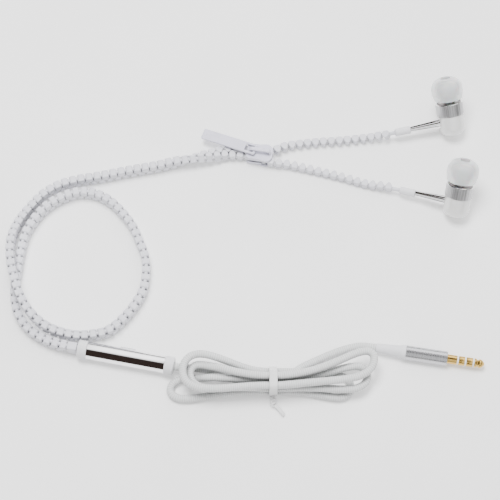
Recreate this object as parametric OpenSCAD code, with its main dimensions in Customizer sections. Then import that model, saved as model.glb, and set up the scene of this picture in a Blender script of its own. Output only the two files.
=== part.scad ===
// Wired in-ear earphones on a zipper chain: two strands of moulded teeth that a
// slider joins, a splitter tube, and a tied hank of cord that ends in a 3.5 mm plug.
// Millimetres, +Z up, everything lies on z = 0.

/* [Earbud] */
// Radius of the white rear shell
rear_r = 5.2; // [4.9:0.1:5.4]
// Length of the white rear shell
rear_len = 8.3; // [8:0.1:9.5]
// Rounding of the rear shell's closed end
rear_round = 3; // [2:0.1:3.5]
// Wall of the rear shell
shell_wall = 0.8; // [0.6:0.05:0.85]
// Radius of the aluminium front shell
front_r = 5.45; // [5.35:0.05:5.7]
// Length of the aluminium front shell's ring
front_len = 5.1; // [5:0.1:6]
// Wall of the front shell
front_wall = 0.7; // [0.5:0.05:0.75]
// Thickness of the front shell's seat for the driver
seat_t = 0.4; // [0.3:0.05:0.5]
// Depth of the recessed face inside the front rim
rim_depth = 0.6; // [0.4:0.1:0.8]
// Thickness of the recessed face
face_t = 0.8; // [0.6:0.05:0.9]
// Outer radius of the sound nozzle
nozzle_r = 2.5; // [2.4:0.05:2.6]
// Bore radius of the sound nozzle
nozzle_bore_r = 1.9; // [1.6:0.05:1.95]
// Length of the nozzle past the recessed face
nozzle_len = 7.2; // [6.5:0.1:7.5]
// Height of the bead that holds the ear tip on the nozzle
bead_h = 0.15; // [0.1:0.01:0.2]

/* [Ear tip] */
// Radius of the silicone ear tip
tip_r = 6.2; // [5.6:0.1:6.3]
// Length of the ear tip
tip_len = 8.6; // [8:0.1:9.2]
// Gap from the front shell's rim to the skirt of the ear tip
tip_gap = 1.2; // [0.8:0.1:1.6]
// Thickness of the silicone
tip_wall = 0.65; // [0.5:0.05:0.7]
// Rounding of the ear tip's front
tip_round = 4.2; // [3.5:0.1:4.5]
// How far the skirt of the ear tip draws in at its edge
tip_tuck = 0.6; // [0:0.1:0.8]
// Length over which the skirt draws in
tip_taper = 2.5; // [2:0.1:3]
// Radius of the sound hole in the ear tip
tip_hole_r = 1.9; // [1.7:0.1:2]

/* [Driver] */
// Thickness of the driver frame
frame_wall = 0.5; // [0.4:0.05:0.6]
// Radius of the magnet
magnet_r = 1.35; // [1.2:0.05:1.4]
// Height of the magnet
magnet_h = 1.2; // [1:0.05:1.25]
// Thickness of the pole plate on the magnet
pole_h = 0.5; // [0.4:0.05:0.55]
// Thickness of the yoke
yoke_wall = 0.5; // [0.4:0.05:0.55]
// Width of the air gap round the pole plate
air_gap = 0.6; // [0.55:0.05:0.7]
// Thickness of the voice coil
coil_t = 0.22; // [0.18:0.01:0.24]
// Thickness of the diaphragm
cone_t = 0.15; // [0.1:0.01:0.2]
// Radius of the terminal board
board_r = 3.4; // [3:0.1:3.6]
// Thickness of the terminal board
board_t = 0.5; // [0.4:0.05:0.6]

/* [Stem] */
// Distance of the stem from the rear shell's open end
stem_drop = 3.1; // [3.05:0.05:3.3]
// Radius of the stem at the earbud
stem_r1 = 1.9; // [1.7:0.05:1.9]
// Radius of the stem at its far end
stem_r2 = 1.2; // [1.15:0.05:1.3]
// Length of the stem from the earbud's wall
stem_len = 11.6; // [10:0.1:13]
// Length of the end stop sleeve
stop_len = 6.2; // [5:0.1:7]
// Radius of the end stop sleeve
stop_r = 1.55; // [1.4:0.05:1.6]

/* [Zipper] */
// Distance from one tooth to the next on a strand
pitch = 3.2; // [3.1:0.05:3.4]
// Length of a tooth's root along the strand
root_l = 2.6; // [2.4:0.05:2.7]
// Width of a tooth's root outside the cord's centre
root_out = 1.1; // [1.05:0.01:1.15]
// Width of a tooth's root inside the cord's centre
root_in = 0.98; // [0.94:0.01:0.99]
// Length of a tooth's head along the strand
head_l = 1.2; // [1.1:0.05:1.25]
// Reach of a tooth's head from the cord's centre
head_reach = 1.94; // [1.88:0.01:1.95]
// Thickness of the teeth
tooth_t = 3.1; // [3:0.05:3.15]
// Distance of each cord from the middle of the closed chain
half_gap = 1.55; // [1.55:0.01:1.57]
// Radius of each strand's cord
strand_r = 0.8; // [0.75:0.01:0.85]
// Clearance of a tooth's bore round the cord
bore_clear = 0.15; // [0.1:0.01:0.16]
// Length of the bottom stop
stop_block_l = 4.2; // [3.5:0.1:5]

/* [Slider] */
// Length of the slider
slider_len = 10.3; // [10.2:0.1:10.8]
// Width of the slider's narrow end
slider_narrow = 6.7; // [6.7:0.1:7]
// Width of the slider's wide end
slider_wide = 8.8; // [8.8:0.1:9.2]
// Thickness of each plate
plate_t = 1; // [0.9:0.05:1.1]
// Clearance of the teeth in the slider
slider_clear = 0.1; // [0.05:0.01:0.15]
// Height of the side flanges
flange_h = 1; // [0.8:0.05:1.2]
// Thickness of the side flanges
flange_t = 0.45; // [0.4:0.05:0.5]
// Radius of the post between the plates
post_r = 0.42; // [0.35:0.01:0.42]
// Length of the bail
bail_len = 8.6; // [8:0.1:9]
// Width of the bail
bail_w = 1.5; // [1.3:0.1:1.6]
// Thickness of the bail
bail_t = 0.8; // [0.7:0.05:0.9]
// Headroom under the bail
bail_room = 1.7; // [1.6:0.05:2]

/* [Pull tab] */
// Length of the pull tab
tab_len = 23; // [18:0.5:26]
// Width of the pull tab
tab_w = 4.6; // [4.4:0.1:5]
// Thickness of the pull tab
tab_t = 1; // [0.8:0.05:1.1]
// Width of the hole that goes round the bail
tab_hole_w = 2.7; // [2.6:0.05:2.8]
// Length of the hole that goes round the bail
tab_hole_l = 3.6; // [3:0.1:4]
// Corner radius at the ring end of the pull tab
tab_ring_r = 1.9; // [1.2:0.1:2.1]
// Turn of the tab against the slider, seen from above
tab_yaw = 13; // [10:1:14]
// Droop of the tab at rest
tab_droop = 6; // [5:0.5:7]

/* [Splitter] */
// Length of the chrome tube
tube_len = 30; // [28:0.5:34]
// Radius of the chrome tube
tube_r = 3.3; // [3.2:0.05:3.4]
// Wall of the chrome tube
tube_wall = 0.5; // [0.4:0.05:0.5]
// Radius of the collars
collar_r = 3.55; // [3.5:0.05:3.7]
// Length of each collar
collar_len = 3.5; // [3:0.1:4]
// Length of each collar's spigot
spigot_len = 3; // [2.5:0.1:3.5]
// Width of the microphone board
mic_board_w = 4.4; // [4:0.1:4.6]
// Thickness of the microphone board
mic_board_t = 0.8; // [0.6:0.05:0.9]
// Radius of the microphone capsule
capsule_r = 1.5; // [1.3:0.05:1.6]
// Height of the microphone capsule
capsule_h = 1.2; // [1:0.05:1.4]
// Radius of the microphone port
port_r = 0.4; // [0.3:0.05:0.5]
// Length of the call button
button_l = 6; // [5:0.1:7]
// Width of the call button
button_w = 2; // [1.8:0.1:2.2]
// Height of the call button above the tube
button_proud = 0.5; // [0.4:0.05:0.6]
// Travel of the call button
button_travel = 0.35; // [0.3:0.01:0.4]
// Height of the switch on the board
switch_h = 1.1; // [0.9:0.05:1.2]

/* [Lower cord] */
// Radius of the lower cord
cord_r = 1.45; // [1.35:0.05:1.45]
// Height from one layer of the hank to the next
layer_step = 3.45; // [3.4:0.05:3.6]
// Distance between the lanes of cord inside the tie
lane_step = 3.7; // [3.6:0.05:3.8]
// Width of the twist tie
tie_w = 3; // [2:0.1:3.5]
// Thickness of the twist tie
tie_t = 0.5; // [0.4:0.05:0.6]
// Length of the tie's twisted knot
knot_len = 4; // [3:0.1:5]
// Length of the tie's tail
tail_len = 5.5; // [4:0.1:7]

/* [Plug] */
// Length of the strain relief
relief_len = 11.4; // [10:0.1:14]
// Radius of the strain relief at the cord
relief_r1 = 1.7; // [1.6:0.05:1.8]
// Radius of the strain relief at its flare
relief_r2 = 2.75; // [2.6:0.05:2.8]
// Length of the plug's shell
shell_len = 15.7; // [14:0.1:18]
// Radius of the plug's shell
shell_r = 2.75; // [2.6:0.05:2.8]
// Radius of the plug's contacts
jack_r = 1.75; // [1.75:0.01:1.75]
// Length of the plug's contacts
jack_len = 14; // [14:0.1:14]
// Length of each insulating ring
ring_l = 0.6; // [0.5:0.05:0.7]

/* [Hidden] */
SIDES = ["left", "right"];
SIDE_NODES = ["ear_tip", "nozzle_mesh", "front_shell", "driver_frame", "diaphragm", "voice_coil",
    "magnet", "pole_plate", "yoke", "terminal_board", "rear_shell", "stem", "end_stop",
    "strand_cord", "teeth"];
SHARED_NODES = ["slider_body", "pull_tab", "bottom_stop", "front_collar", "rear_collar",
    "splitter_tube", "mic_board", "mic_capsule", "call_button", "button_switch", "cord_lead_in",
    "cord_hank", "cord_lead_out", "twist_tie", "plug_strain_relief", "plug_shell", "plug_tip",
    "plug_ring_1", "plug_ring_2", "plug_sleeve", "plug_insulators"];

$fn = 48;
fit = 0.05;          // clearance where one piece seats in another
cord_clear = 0.12;   // clearance of the lower cord in its collar and strain relief
eps = 0.01;          // overshoot of a cut
home = [-2.67, 8.19, 0];   // middle of the earphones without the lower cord

// Earbuds: closed end's centre, heading, rise above the table, roll of the stem
bud_at = [[81.3, 49.2, 2.63], [80.2, 13.8, 2.38]];
bud_yaw = [104, 80];
bud_rise = [42, 46];
stem_roll = [4, 10];

// Heights inside an earbud, from the closed end
rim_z = rear_len + front_len;
face_z = rim_z - rim_depth;
nozzle_end = face_z + nozzle_len;
tip_z = rim_z + tip_gap;
floor_t = frame_wall + 0.1;
seat_z = rear_len + seat_t;
board_z = seat_z - board_t;
stem_at = rear_len - stem_drop;
yoke_z = seat_z + 0.1;
magnet_z = yoke_z + yoke_wall;
pole_z = magnet_z + magnet_h;
yoke_top = pole_z + pole_h;
cone_z = yoke_top + 0.4;
yoke_in = magnet_r + air_gap;
yoke_r = yoke_in + yoke_wall;
rear_in = rear_r - shell_wall;
front_in = front_r - front_wall;
stem_in = rear_in + 0.02;
stem_end = rear_r + stem_len;
stop_end = stem_end + stop_len;
stem_bore = strand_r + 0.1;

// Slider: centre, heading; travel is along its own length
slider_at = [3.9, 39.8, 0];
slider_yaw = -9;
chain_z = plate_t + slider_clear + tooth_t / 2;
plate_gap = tooth_t + 2 * slider_clear;
top_z = plate_t + plate_gap;
bail_top = top_z + plate_t + bail_room + bail_t;
mouth_x = slider_len / 2;
mouth_y = 2.75;
mouth_fan = [0.7, 0.15];   // spread of the left and the right strand just past the mouth
pin_x = -2;
pin_z = top_z + plate_t + bail_room - tab_t / 2 - fit;

// Splitter: left end of the tube and its heading
split_at = [-61.4, -42.3, collar_r];
split_yaw = -10.9;
tube_in = tube_r - tube_wall;
board_x = 2.2;
board_len = tube_len - 2 * board_x;
window_x = tube_len / 2;
port_x = window_x + 7;
flange_y = tube_in - 0.75;

// Plug: start of the strain relief and its heading
plug_at = [47.6, -41, relief_r2 + 0.02];
plug_yaw = -9.2;

// Places on the splitter and the plug in the common frame
function turned(a, p) = [p[0] * cos(a) - p[1] * sin(a), p[0] * sin(a) + p[1] * cos(a), p[2]];
function onSplitter(p) = split_at + turned(split_yaw, p);
function onPlug(p) = plug_at + turned(plug_yaw, p);
function onSlider(p) = slider_at + turned(slider_yaw, p);
// A point of earbud i at distance r along the stem and height z along the earbud
function onBud(i, r, z) =
    let (x = -r * sin(stem_roll[i]) * -1, y = r * cos(stem_roll[i]), tilt = 90 - bud_rise[i])
    bud_at[i] + turned(bud_yaw[i],
        [x * cos(tilt) + z * sin(tilt), y, -x * sin(tilt) + z * cos(tilt)]);

// Middle of the closed chain, from the slider round the loop to the splitter
chain_route = concat([onSlider([-1, 0, chain_z]), onSlider([-5.6, 0, chain_z])], [
    [-9, 40.8, chain_z], [-14.5, 39.6, chain_z + 0.18], [-20, 38.5, chain_z + 0.45],
    [-25, 37.4, chain_z + 0.5], [-31, 36, chain_z + 0.4], [-37, 34.5, chain_z + 0.05],
    [-48, 32.4, chain_z], [-59, 30, chain_z], [-68, 28.4, chain_z], [-75, 26.2, chain_z],
    [-81, 22.4, chain_z], [-85.6, 17.2, chain_z + 0.1], [-89, 12, chain_z + 0.9],
    [-91.3, 6, chain_z + 2.7], [-92.2, 0, chain_z + 4.8], [-91.9, -6, chain_z + 5.5],
    [-91, -11, chain_z + 5.5], [-89.4, -16, chain_z + 5.5], [-87.6, -21, chain_z + 5.5],
    [-85, -26, chain_z + 5.5], [-81.6, -30.2, chain_z + 5], [-77.4, -33.4, chain_z + 3.3],
    [-72, -35.3, chain_z + 1.2], [-66, -36.3, chain_z + 0.13], [-60, -36, chain_z + 0.05],
    [-54, -34.5, chain_z], [-48.6, -30, chain_z], [-44, -24, chain_z], [-41, -18, chain_z],
    [-40, -11, chain_z], [-40.5, -4.5, chain_z], [-42.8, 2, chain_z], [-45.7, 8.5, chain_z],
    [-49.8, 14.2, chain_z], [-55, 19.4, chain_z], [-61.3, 22.6, chain_z], [-68, 23, chain_z],
    [-74.6, 20.6, chain_z], [-80, 16.8, chain_z], [-84.2, 11.5, chain_z], [-87.2, 5.5, chain_z],
    [-88.6, -1, chain_z], [-89.3, -7, chain_z], [-89.9, -13, chain_z], [-90.2, -19, chain_z],
    [-89.3, -25, chain_z], [-87, -30, chain_z], [-83.6, -34, chain_z], [-79, -37.2, chain_z],
    [-73.8, -39.5, chain_z + 0.4]],
    [onSplitter([-6.5, 0, -0.1]), onSplitter([-collar_len, 0, 0]), onSplitter([board_x, 0, 0])]);

// Twist of the chain along its length: flat at the slider, on edge round the loop
chain_twist = [[0, 0], [10, 0], [34, 90], [1000, 90]];

// Open strands from the end stop to the mouth of the slider
open_route = [
    [[50.5, 48.2, 2.3], [45, 47.6, 1.8], [36.5, 46.6, 1.7], [28, 46, 1.7], [20, 45.1, 1.8],
     [14, 43.9, 2.2]],
    [[53, 25.6, 2.7], [45.5, 27.2, 1.65], [36, 30.2, 1.6], [27, 32.6, 1.6], [19.5, 34.4, 1.8],
     [14, 35.6, 2.2]]];

// Lower cord
cord_z = cord_r + 0.05;
waist = [8.7, -55.9];
waist_lift = tie_t + 0.25;
lane_z = cord_z + waist_lift;
out_lane = waist[1] + 1.5 * lane_step;
in_lane = waist[1] + 0.5 * lane_step;
end_run = 7;
tie_h = 1.5;
// Lobes of the hank in turn, right then left: reach, rise at the end, bulge, fullness
lobes = [
    [29, 0, 10, 3], [38.6, -1.2, 9, 3], [35.3, 3.2, 10.5, 3], [31.2, 4, 10.5, 3],
    [37.7, 8.7, 11.2, 3], [33.8, 3.2, 9.5, 2]];
// Where each turn changes its layer: place along x, length of the climb, layers
climbs = [[-21, 8, 1], [-18, 10, 1], [-17, 21, -2]];
lead_in_route = concat(
    [onSplitter([tube_len + 0.6, 0, 0]), onSplitter([tube_len + 2.6, 0, 0]),
        onSplitter([tube_len + 4.4, 0, -0.1])],
    [[-22, -48.6, 1.8], [-17, -49.2, cord_z], [-12, -50.5, cord_z], [-6, -53, 1.7]],
    [[waist[0] - end_run - 1.5, in_lane - 0.05, lane_z], [waist[0] - end_run, in_lane, lane_z]]);
lead_out_route = concat(
    [[waist[0] + end_run + 0.2, out_lane, lane_z], [waist[0] + end_run + 1.4, out_lane + 0.06, lane_z]],
    [[20, -48.2, 1.9], [25, -45.7, cord_z], [31, -43, cord_z], [37, -40.9, cord_z], [42, -40.1, 1.9]],
    [onPlug([-1.5, 0, 0]), onPlug([0.1, 0, 0]), onPlug([1.9, 0, 0])]);

// ---- paths ----
function unit(v) = v / norm(v);
function bend(p, i, t) =
    let (a = p[max(i - 1, 0)], b = p[i], c = p[i + 1], d = p[min(i + 2, len(p) - 1)])
    0.5 * (2 * b + (c - a) * t + (2 * a - 5 * b + 4 * c - d) * t * t
        + (3 * b - a - 3 * c + d) * t * t * t);
function smoothPath(p, n) =
    concat([for (i = [0 : len(p) - 2]) for (j = [0 : n - 1]) bend(p, i, j / n)], [p[len(p) - 1]]);
function runs(p) = [for (i = 0, s = 0; i < len(p);
    s = s + (i + 1 < len(p) ? norm(p[i + 1] - p[i]) : 0), i = i + 1) s];
function table(p) = let (s = runs(p)) [for (k = [0 : 2]) [for (i = [0 : len(p) - 1]) [s[i], p[i][k]]]];
function at(tab, s) = [lookup(s, tab[0]), lookup(s, tab[1]), lookup(s, tab[2])];
function heading(tab, s) = unit(at(tab, s + 0.6) - at(tab, s - 0.6));
function total(p) = let (s = runs(p)) s[len(s) - 1];
function ease(u) = let (v = min(max(u, 0), 1)) v * v * (3 - 2 * v);

chain_path = smoothPath(chain_route, 8);
chain_tab = table(chain_path);
chain_len = total(chain_path);
// Direction across the closed chain, from the left strand to the right one
function across(s) =
    let (t = heading(chain_tab, s), side = unit(cross([0, 0, 1], t)), up = cross(t, side),
        a = lookup(s, chain_twist))
    cos(a) * side + sin(a) * up;
function onChain(i, s) = at(chain_tab, s) + (i == 0 ? -1 : 1) * half_gap * across(s);

// One strand's open part, from inside the earbud to the slider's narrow end
function openPath(i) =
    let (e = i == 0 ? 1 : -1)
    smoothPath(concat(
        [onBud(i, 0, board_z), onBud(i, 0, board_z - 1.2),
         onBud(i, 1.6, stem_at + 0.15), onBud(i, rear_in, stem_at), onBud(i, stem_end - 4, stem_at),
         onBud(i, stop_end, stem_at)],
        open_route[i],
        [onSlider([mouth_x + 1, e * (mouth_y + mouth_fan[i]), chain_z]),
         onSlider([mouth_x - 1.5, e * (mouth_y - 0.4), chain_z]),
         onSlider([1.2, e * (half_gap + 0.12), chain_z]), onChain(i, 0)]), 6);
open_tabs = [table(openPath(0)), table(openPath(1))];
open_lens = [total(openPath(0)), total(openPath(1))];
bud_runs = [for (i = [0, 1]) norm(onBud(i, stop_end, stem_at) - onBud(i, 0, stem_at))
    + board_z - stem_at - 0.6];

// Turtle frame: x along t, y along w made square to t
module place(p, t, w) {
    y = unit(w - (w * t) * t);
    z = cross(t, y);
    multmatrix([[t[0], y[0], z[0], p[0]], [t[1], y[1], z[1], p[1]], [t[2], y[2], z[2], p[2]],
        [0, 0, 0, 1]]) children();
}

// Closed tube along points, with its rings square to the path
function ringFrame(pts, i) =
    let (n = len(pts) - 1,
        t = unit(pts[min(i + 1, n)] - pts[max(i - 1, 0)]),
        side = unit(cross([0, 0, 1], abs(t[2]) > 0.97 ? [1, 0, 0] : t)),
        y = unit(side - (side * t) * t))
    [y, cross(t, y)];
module tube(pts, r, sides) {
    n = len(pts);
    rings = [for (i = [0 : n - 1]) let (f = ringFrame(pts, i))
        for (k = [0 : sides - 1]) let (a = (k + 0.5) * 360 / sides)
            pts[i] + r * (cos(a) * f[0] + sin(a) * f[1])];
    skin = [for (i = [0 : n - 2]) for (k = [0 : sides - 1])
        let (a = i * sides + k, b = i * sides + (k + 1) % sides)
        for (f = [[a, a + sides, b], [b, a + sides, b + sides]]) f];
    ends = [for (k = [1 : sides - 2]) for (f = [[0, k, k + 1],
        [(n - 1) * sides, (n - 1) * sides + k + 1, (n - 1) * sides + k]]) f];
    polyhedron(rings, concat(skin, ends), convexity = 10);
}

// ---- places ----
module home() { translate(-home) children(); }
module atBud(i) {
    home() translate(bud_at[i]) rotate([0, 90 - bud_rise[i], bud_yaw[i]]) rotate(-stem_roll[i])
        children();
}
module atSlider() { home() translate(slider_at) rotate(slider_yaw) children(); }
module atSplitter() { home() translate(split_at) rotate(split_yaw) children(); }
module atPlug() { home() translate(plug_at) rotate([0, 0, plug_yaw]) rotate([0, 90, 0]) children(); }

// ---- earbud, closed end at z = 0, stem along +y ----
module rearShell() {
    color("white") difference() {
        rotate_extrude() difference() {
            union() {
                square([rear_r - rear_round, rear_len]);
                translate([0, rear_round]) square([rear_r, rear_len - rear_round]);
                intersection() {
                    translate([rear_r - rear_round, rear_round]) circle(rear_round);
                    square([rear_r, rear_round]);
                }
            }
            union() {
                translate([0, shell_wall]) square([rear_r - rear_round, rear_len]);
                translate([0, rear_round]) square([rear_in, rear_len]);
                intersection() {
                    translate([rear_r - rear_round, rear_round]) circle(rear_round - shell_wall);
                    square([rear_r, rear_round + eps]);
                }
            }
        }
        translate([0, 2, stem_at]) rotate([-90, 0, 0]) cylinder(r = stem_r1 + fit, h = rear_r);
    }
}

module frontShell() {
    back = rear_len - 1;
    spigot_r = rear_in - fit;
    color("silver") rotate_extrude() difference() {
        union() {
            translate([0, back]) square([spigot_r, rear_len - back + eps]);
            translate([0, rear_len]) square([front_r, front_len]);
            translate([0, rim_z]) square([nozzle_r, nozzle_end - rim_z]);
            translate([0, nozzle_end - 1.2]) square([nozzle_r + bead_h, 0.8]);
        }
        translate([0, back - eps]) square([spigot_r - 0.4, seat_z - back + 2 * eps]);
        translate([0, seat_z]) square([front_in, face_z - face_t - seat_z]);
        translate([nozzle_r, face_z]) square([front_in - nozzle_r, rim_depth + eps]);
        square([nozzle_bore_r, nozzle_end + eps]);
    }
}

module nozzleMesh() {
    color("dimgray") translate([0, 0, nozzle_end - 0.5])
        cylinder(r = nozzle_bore_r - 0.02, h = 0.2);
}

// Silicone: a core on the nozzle, a rounded front and a thin skirt that comes back over it
module tipOutline(in) {
    round_r = tip_round - in;
    top = tip_z + tip_len - in;
    r = tip_r - in;
    polygon([[0, tip_z - eps * in], [r - tip_tuck, tip_z - eps * in], [r, tip_z + tip_taper],
        [r, top - round_r], [0, top - round_r]]);
    translate([0, top - round_r - eps]) square([r - round_r, round_r + eps]);
    intersection() {
        translate([r - round_r, top - round_r]) circle(round_r);
        translate([0, top - round_r]) square(tip_r);
    }
}

module earTip() {
    core_in = nozzle_r + bead_h + 0.03;
    color("whitesmoke") rotate_extrude() difference() {
        tipOutline(0);
        difference() {
            tipOutline(tip_wall);
            translate([0, tip_z + 0.4]) square([core_in + tip_wall, tip_len]);
        }
        square([core_in, nozzle_end + 0.1]);
        square([tip_hole_r, tip_z + tip_len + eps]);
    }
}

module driverFrame() {
    r = front_in - fit;
    color("gainsboro") translate([0, 0, seat_z]) difference() {
        cylinder(r = r, h = cone_z - seat_z);
        translate([0, 0, floor_t]) cylinder(r = r - frame_wall, h = cone_z);
        translate([0, 0, -eps]) cylinder(r = yoke_r + 0.02, h = cone_z);
    }
}

module diaphragm() {
    r = front_in - fit - 0.05;
    coil_r = magnet_r + air_gap / 2 + coil_t / 2;
    color("lightgray") translate([0, 0, cone_z]) {
        cylinder(r = r, h = cone_t);
        translate([0, 0, cone_t]) cylinder(r1 = coil_r, r2 = coil_r * 0.6, h = 0.35);
    }
}

module voiceCoil() {
    coil_r = magnet_r + air_gap / 2 + coil_t / 2;
    color("peru") translate([0, 0, pole_z]) difference() {
        cylinder(r = coil_r, h = cone_z - pole_z);
        translate([0, 0, -eps]) cylinder(r = coil_r - coil_t, h = cone_z);
    }
}

module magnet() { color("gray") translate([0, 0, magnet_z]) cylinder(r = magnet_r, h = magnet_h); }

module polePlate() { color("silver") translate([0, 0, pole_z]) cylinder(r = magnet_r, h = pole_h); }

module yoke() {
    color("silver") translate([0, 0, yoke_z]) difference() {
        cylinder(r = yoke_r, h = yoke_top - yoke_z);
        translate([0, 0, yoke_wall]) cylinder(r = yoke_in, h = yoke_top);
    }
}

module terminalBoard() {
    color("seagreen") translate([0, 0, board_z]) cylinder(r = board_r, h = board_t);
}

module stem() {
    color("silver") translate([0, stem_in, stem_at]) rotate([-90, 0, 0]) difference() {
        union() {
            cylinder(r = stem_r1, h = shell_wall);
            translate([0, 0, shell_wall - eps]) cylinder(r1 = stem_r1, r2 = stem_r2, h = stem_len);
        }
        translate([0, 0, -eps]) cylinder(r = stem_bore, h = stem_len + 2);
    }
}

module endStop() {
    color("white") translate([0, stem_end + 0.02, stem_at]) rotate([-90, 0, 0]) difference() {
        union() {
            cylinder(r = stop_r, h = stop_len - 0.5);
            translate([0, 0, stop_len - 0.5 - eps]) cylinder(r1 = stop_r, r2 = stop_r - 0.4, h = 0.5);
        }
        translate([0, 0, -eps]) cylinder(r = stem_bore + fit, h = stop_len + 1);
    }
}

// ---- strands ----
module tooth() {
    difference() {
        union() {
            translate([-root_l / 2, -root_out, -tooth_t / 2]) cube([root_l, root_out + root_in, tooth_t]);
            translate([-head_l / 2, 0, -tooth_t / 2]) cube([head_l, head_reach, tooth_t]);
        }
        rotate([0, 90, 0]) cylinder(r = strand_r + bore_clear, h = root_l + 1, center = true, $fn = 24);
    }
}

stop_clear = 0.2;
chain_first = 0.4;
// Teeth that each open strand has room for, from the slider to its end stop
function openCount(i) =
    floor((open_lens[i] + chain_first - bud_runs[i] - stop_clear - root_l / 2) / pitch + (1 - i) / 2);
// The right strand's teeth fill the closed chain up to the bottom stop, and the left one's lie between them
chain_end = chain_len - board_x - collar_len - stop_block_l;
chain_run = chain_end - chain_first - root_l / 2;
chain_count = floor(chain_run / pitch) + 1;
chain_pitch = chain_run / (chain_count - 1);

module teeth(i) {
    tab = open_tabs[i];
    e = i == 0 ? 1 : -1;
    color("white") home() {
        for (k = [0 : openCount(i) - 1]) {
            s = open_lens[i] - (k + 0.5 + i * 0.5) * pitch + chain_first;
            t = heading(tab, s);
            place(at(tab, s), t, e * cross([0, 0, 1], t)) tooth();
        }
        for (k = [0 : chain_count - 2 + i]) {
            s = chain_first + (k + 0.5 - i * 0.5) * chain_pitch;
            place(at(chain_tab, s) - e * half_gap * across(s), heading(chain_tab, s), e * across(s))
                tooth();
        }
    }
}

// Each strand's cord, from the terminal board through stem, teeth and slider to the splitter
cord_step = 2.1;
module strandCord(i) {
    first = [for (s = [0, 1.1, 2, 2.8, 3.6, 4.6, 6.5, 10, 15]) at(open_tabs[i], s)];
    far_open = open_lens[i] - 1;
    steps = floor((far_open - 18) / cord_step);
    open_pts = [for (k = [0 : steps]) at(open_tabs[i], 18 + (far_open - 18) * k / steps)];
    rings = floor(chain_len / cord_step);
    chain_pts = [for (k = [0 : rings]) onChain(i, (chain_len - 4) * k / rings + 0.4)];
    color("white") home()
        tube(concat(first, open_pts, chain_pts, [onSplitter([board_x - 1, 0, (2 * i - 1) * half_gap]),
            onSplitter([board_x, 0, (2 * i - 1) * half_gap])]), strand_r, 6);
}

module bottomStop() {
    s = chain_end + stop_block_l / 2;
    color("white") home() place(at(chain_tab, s), heading(chain_tab, s), across(s)) difference() {
        w = 2 * (half_gap + root_out);
        cube([stop_block_l - 2 * stop_clear, w, tooth_t], center = true);
        for (e = [-1, 1]) translate([0, e * half_gap, 0]) rotate([0, 90, 0])
            cylinder(r = strand_r + bore_clear, h = 2 * stop_block_l, center = true);
    }
}

// ---- slider ----
module plateOutline(grow) {
    n = slider_narrow / 2 + grow;
    w = slider_wide / 2 + grow;
    x = slider_len / 2 + grow;
    hull() {
        for (e = [-1, 1]) {
            translate([-x + 1, e * (n - 1)]) circle(1, $fn = 32);
            translate([x - 1.8, e * (w - 1.8)]) circle(1.8, $fn = 32);
            translate([0.5, e * (n - 0.6)]) circle(1, $fn = 32);
        }
    }
}

module sliderBody() {
    color("lavender") {
        linear_extrude(plate_t) plateOutline(0);
        translate([0, 0, top_z]) linear_extrude(plate_t) plateOutline(0);
        for (z = [plate_t - eps, top_z - flange_h]) translate([0, 0, z])
            linear_extrude(flange_h + eps) difference() {
                plateOutline(0);
                plateOutline(-flange_t);
                translate([1.5, -slider_wide]) square([slider_len, 2 * slider_wide]);
                translate([-slider_len, 0.6 - slider_narrow / 2])
                    square([slider_len, slider_narrow - 1.2]);
            }
        translate([slider_len / 2 - 0.6, 0, plate_t - eps])
            cylinder(r = post_r, h = plate_gap + 2 * eps);
        bail();
    }
}

// Crown that carries the pull tab, along the slider's length
module bail() {
    h = bail_room + bail_t;
    translate([0, bail_w / 2, top_z + plate_t - eps]) rotate([90, 0, 0]) linear_extrude(bail_w)
        difference() {
            archOutline(bail_len, h);
            translate([0, -eps]) archOutline(bail_len - 2 * bail_t, h - bail_t);
        }
}

module archOutline(length, height) {
    r = 1.4;
    translate([-length / 2, 0]) square([length, height - r + eps]);
    translate([r - length / 2, 0]) square([length - 2 * r, height]);
    for (e = [-1, 1]) translate([e * (length / 2 - r), height - r]) circle(r);
}

// Flat tab with a hole that goes round the bail; its round end bar turns under the bail
module pullTab() {
    r = 0.6;
    bar_r = tab_t / 2;
    flat_len = tab_len - bar_r;
    color("lavender") translate([pin_x, 0, pin_z]) rotate([0, 0, -tab_yaw]) rotate([0, -tab_droop, 0])
        intersection() {
            translate([-flat_len, 0, -bar_r]) linear_extrude(tab_t) hull() for (e = [-1, 1]) {
                translate([r, e * (tab_w / 2 - r)]) circle(r);
                translate([tab_len - tab_ring_r, e * (tab_w / 2 - tab_ring_r)]) circle(tab_ring_r);
            }
            union() {
                rotate([90, 0, 0]) cylinder(r = bar_r, h = tab_w, center = true);
                translate([-flat_len, 0, -bar_r]) linear_extrude(tab_t) difference() {
                    translate([0, -tab_w / 2]) square([flat_len, tab_w]);
                    translate([flat_len - bar_r - tab_hole_l, -tab_hole_w / 2])
                        square([tab_hole_l + 2 * bar_r, tab_hole_w]);
                }
            }
        }
}

// ---- splitter, tube along +x, far side along +y ----
module alongX(x) { translate([x, 0, 0]) rotate([0, 90, 0]) children(); }

module boardSlot(x) {
    translate([x, -mic_board_t / 2 - fit, -mic_board_w / 2 - fit])
        cube([spigot_len + 1, mic_board_t + 2 * fit, mic_board_w + 2 * fit]);
}

module frontCollar() {
    color("white") difference() {
        union() {
            alongX(-collar_len) cylinder(r1 = collar_r - 0.25, r2 = collar_r, h = 0.3);
            alongX(0.3 - collar_len) cylinder(r = collar_r, h = collar_len - 0.3);
            alongX(-eps) cylinder(r = tube_in - 0.03, h = spigot_len);
        }
        for (e = [-1, 1]) translate([0, 0, e * half_gap]) alongX(-collar_len - 1)
            cylinder(r = strand_r + bore_clear, h = collar_len + spigot_len + 2);
        boardSlot(board_x);
    }
}

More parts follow.
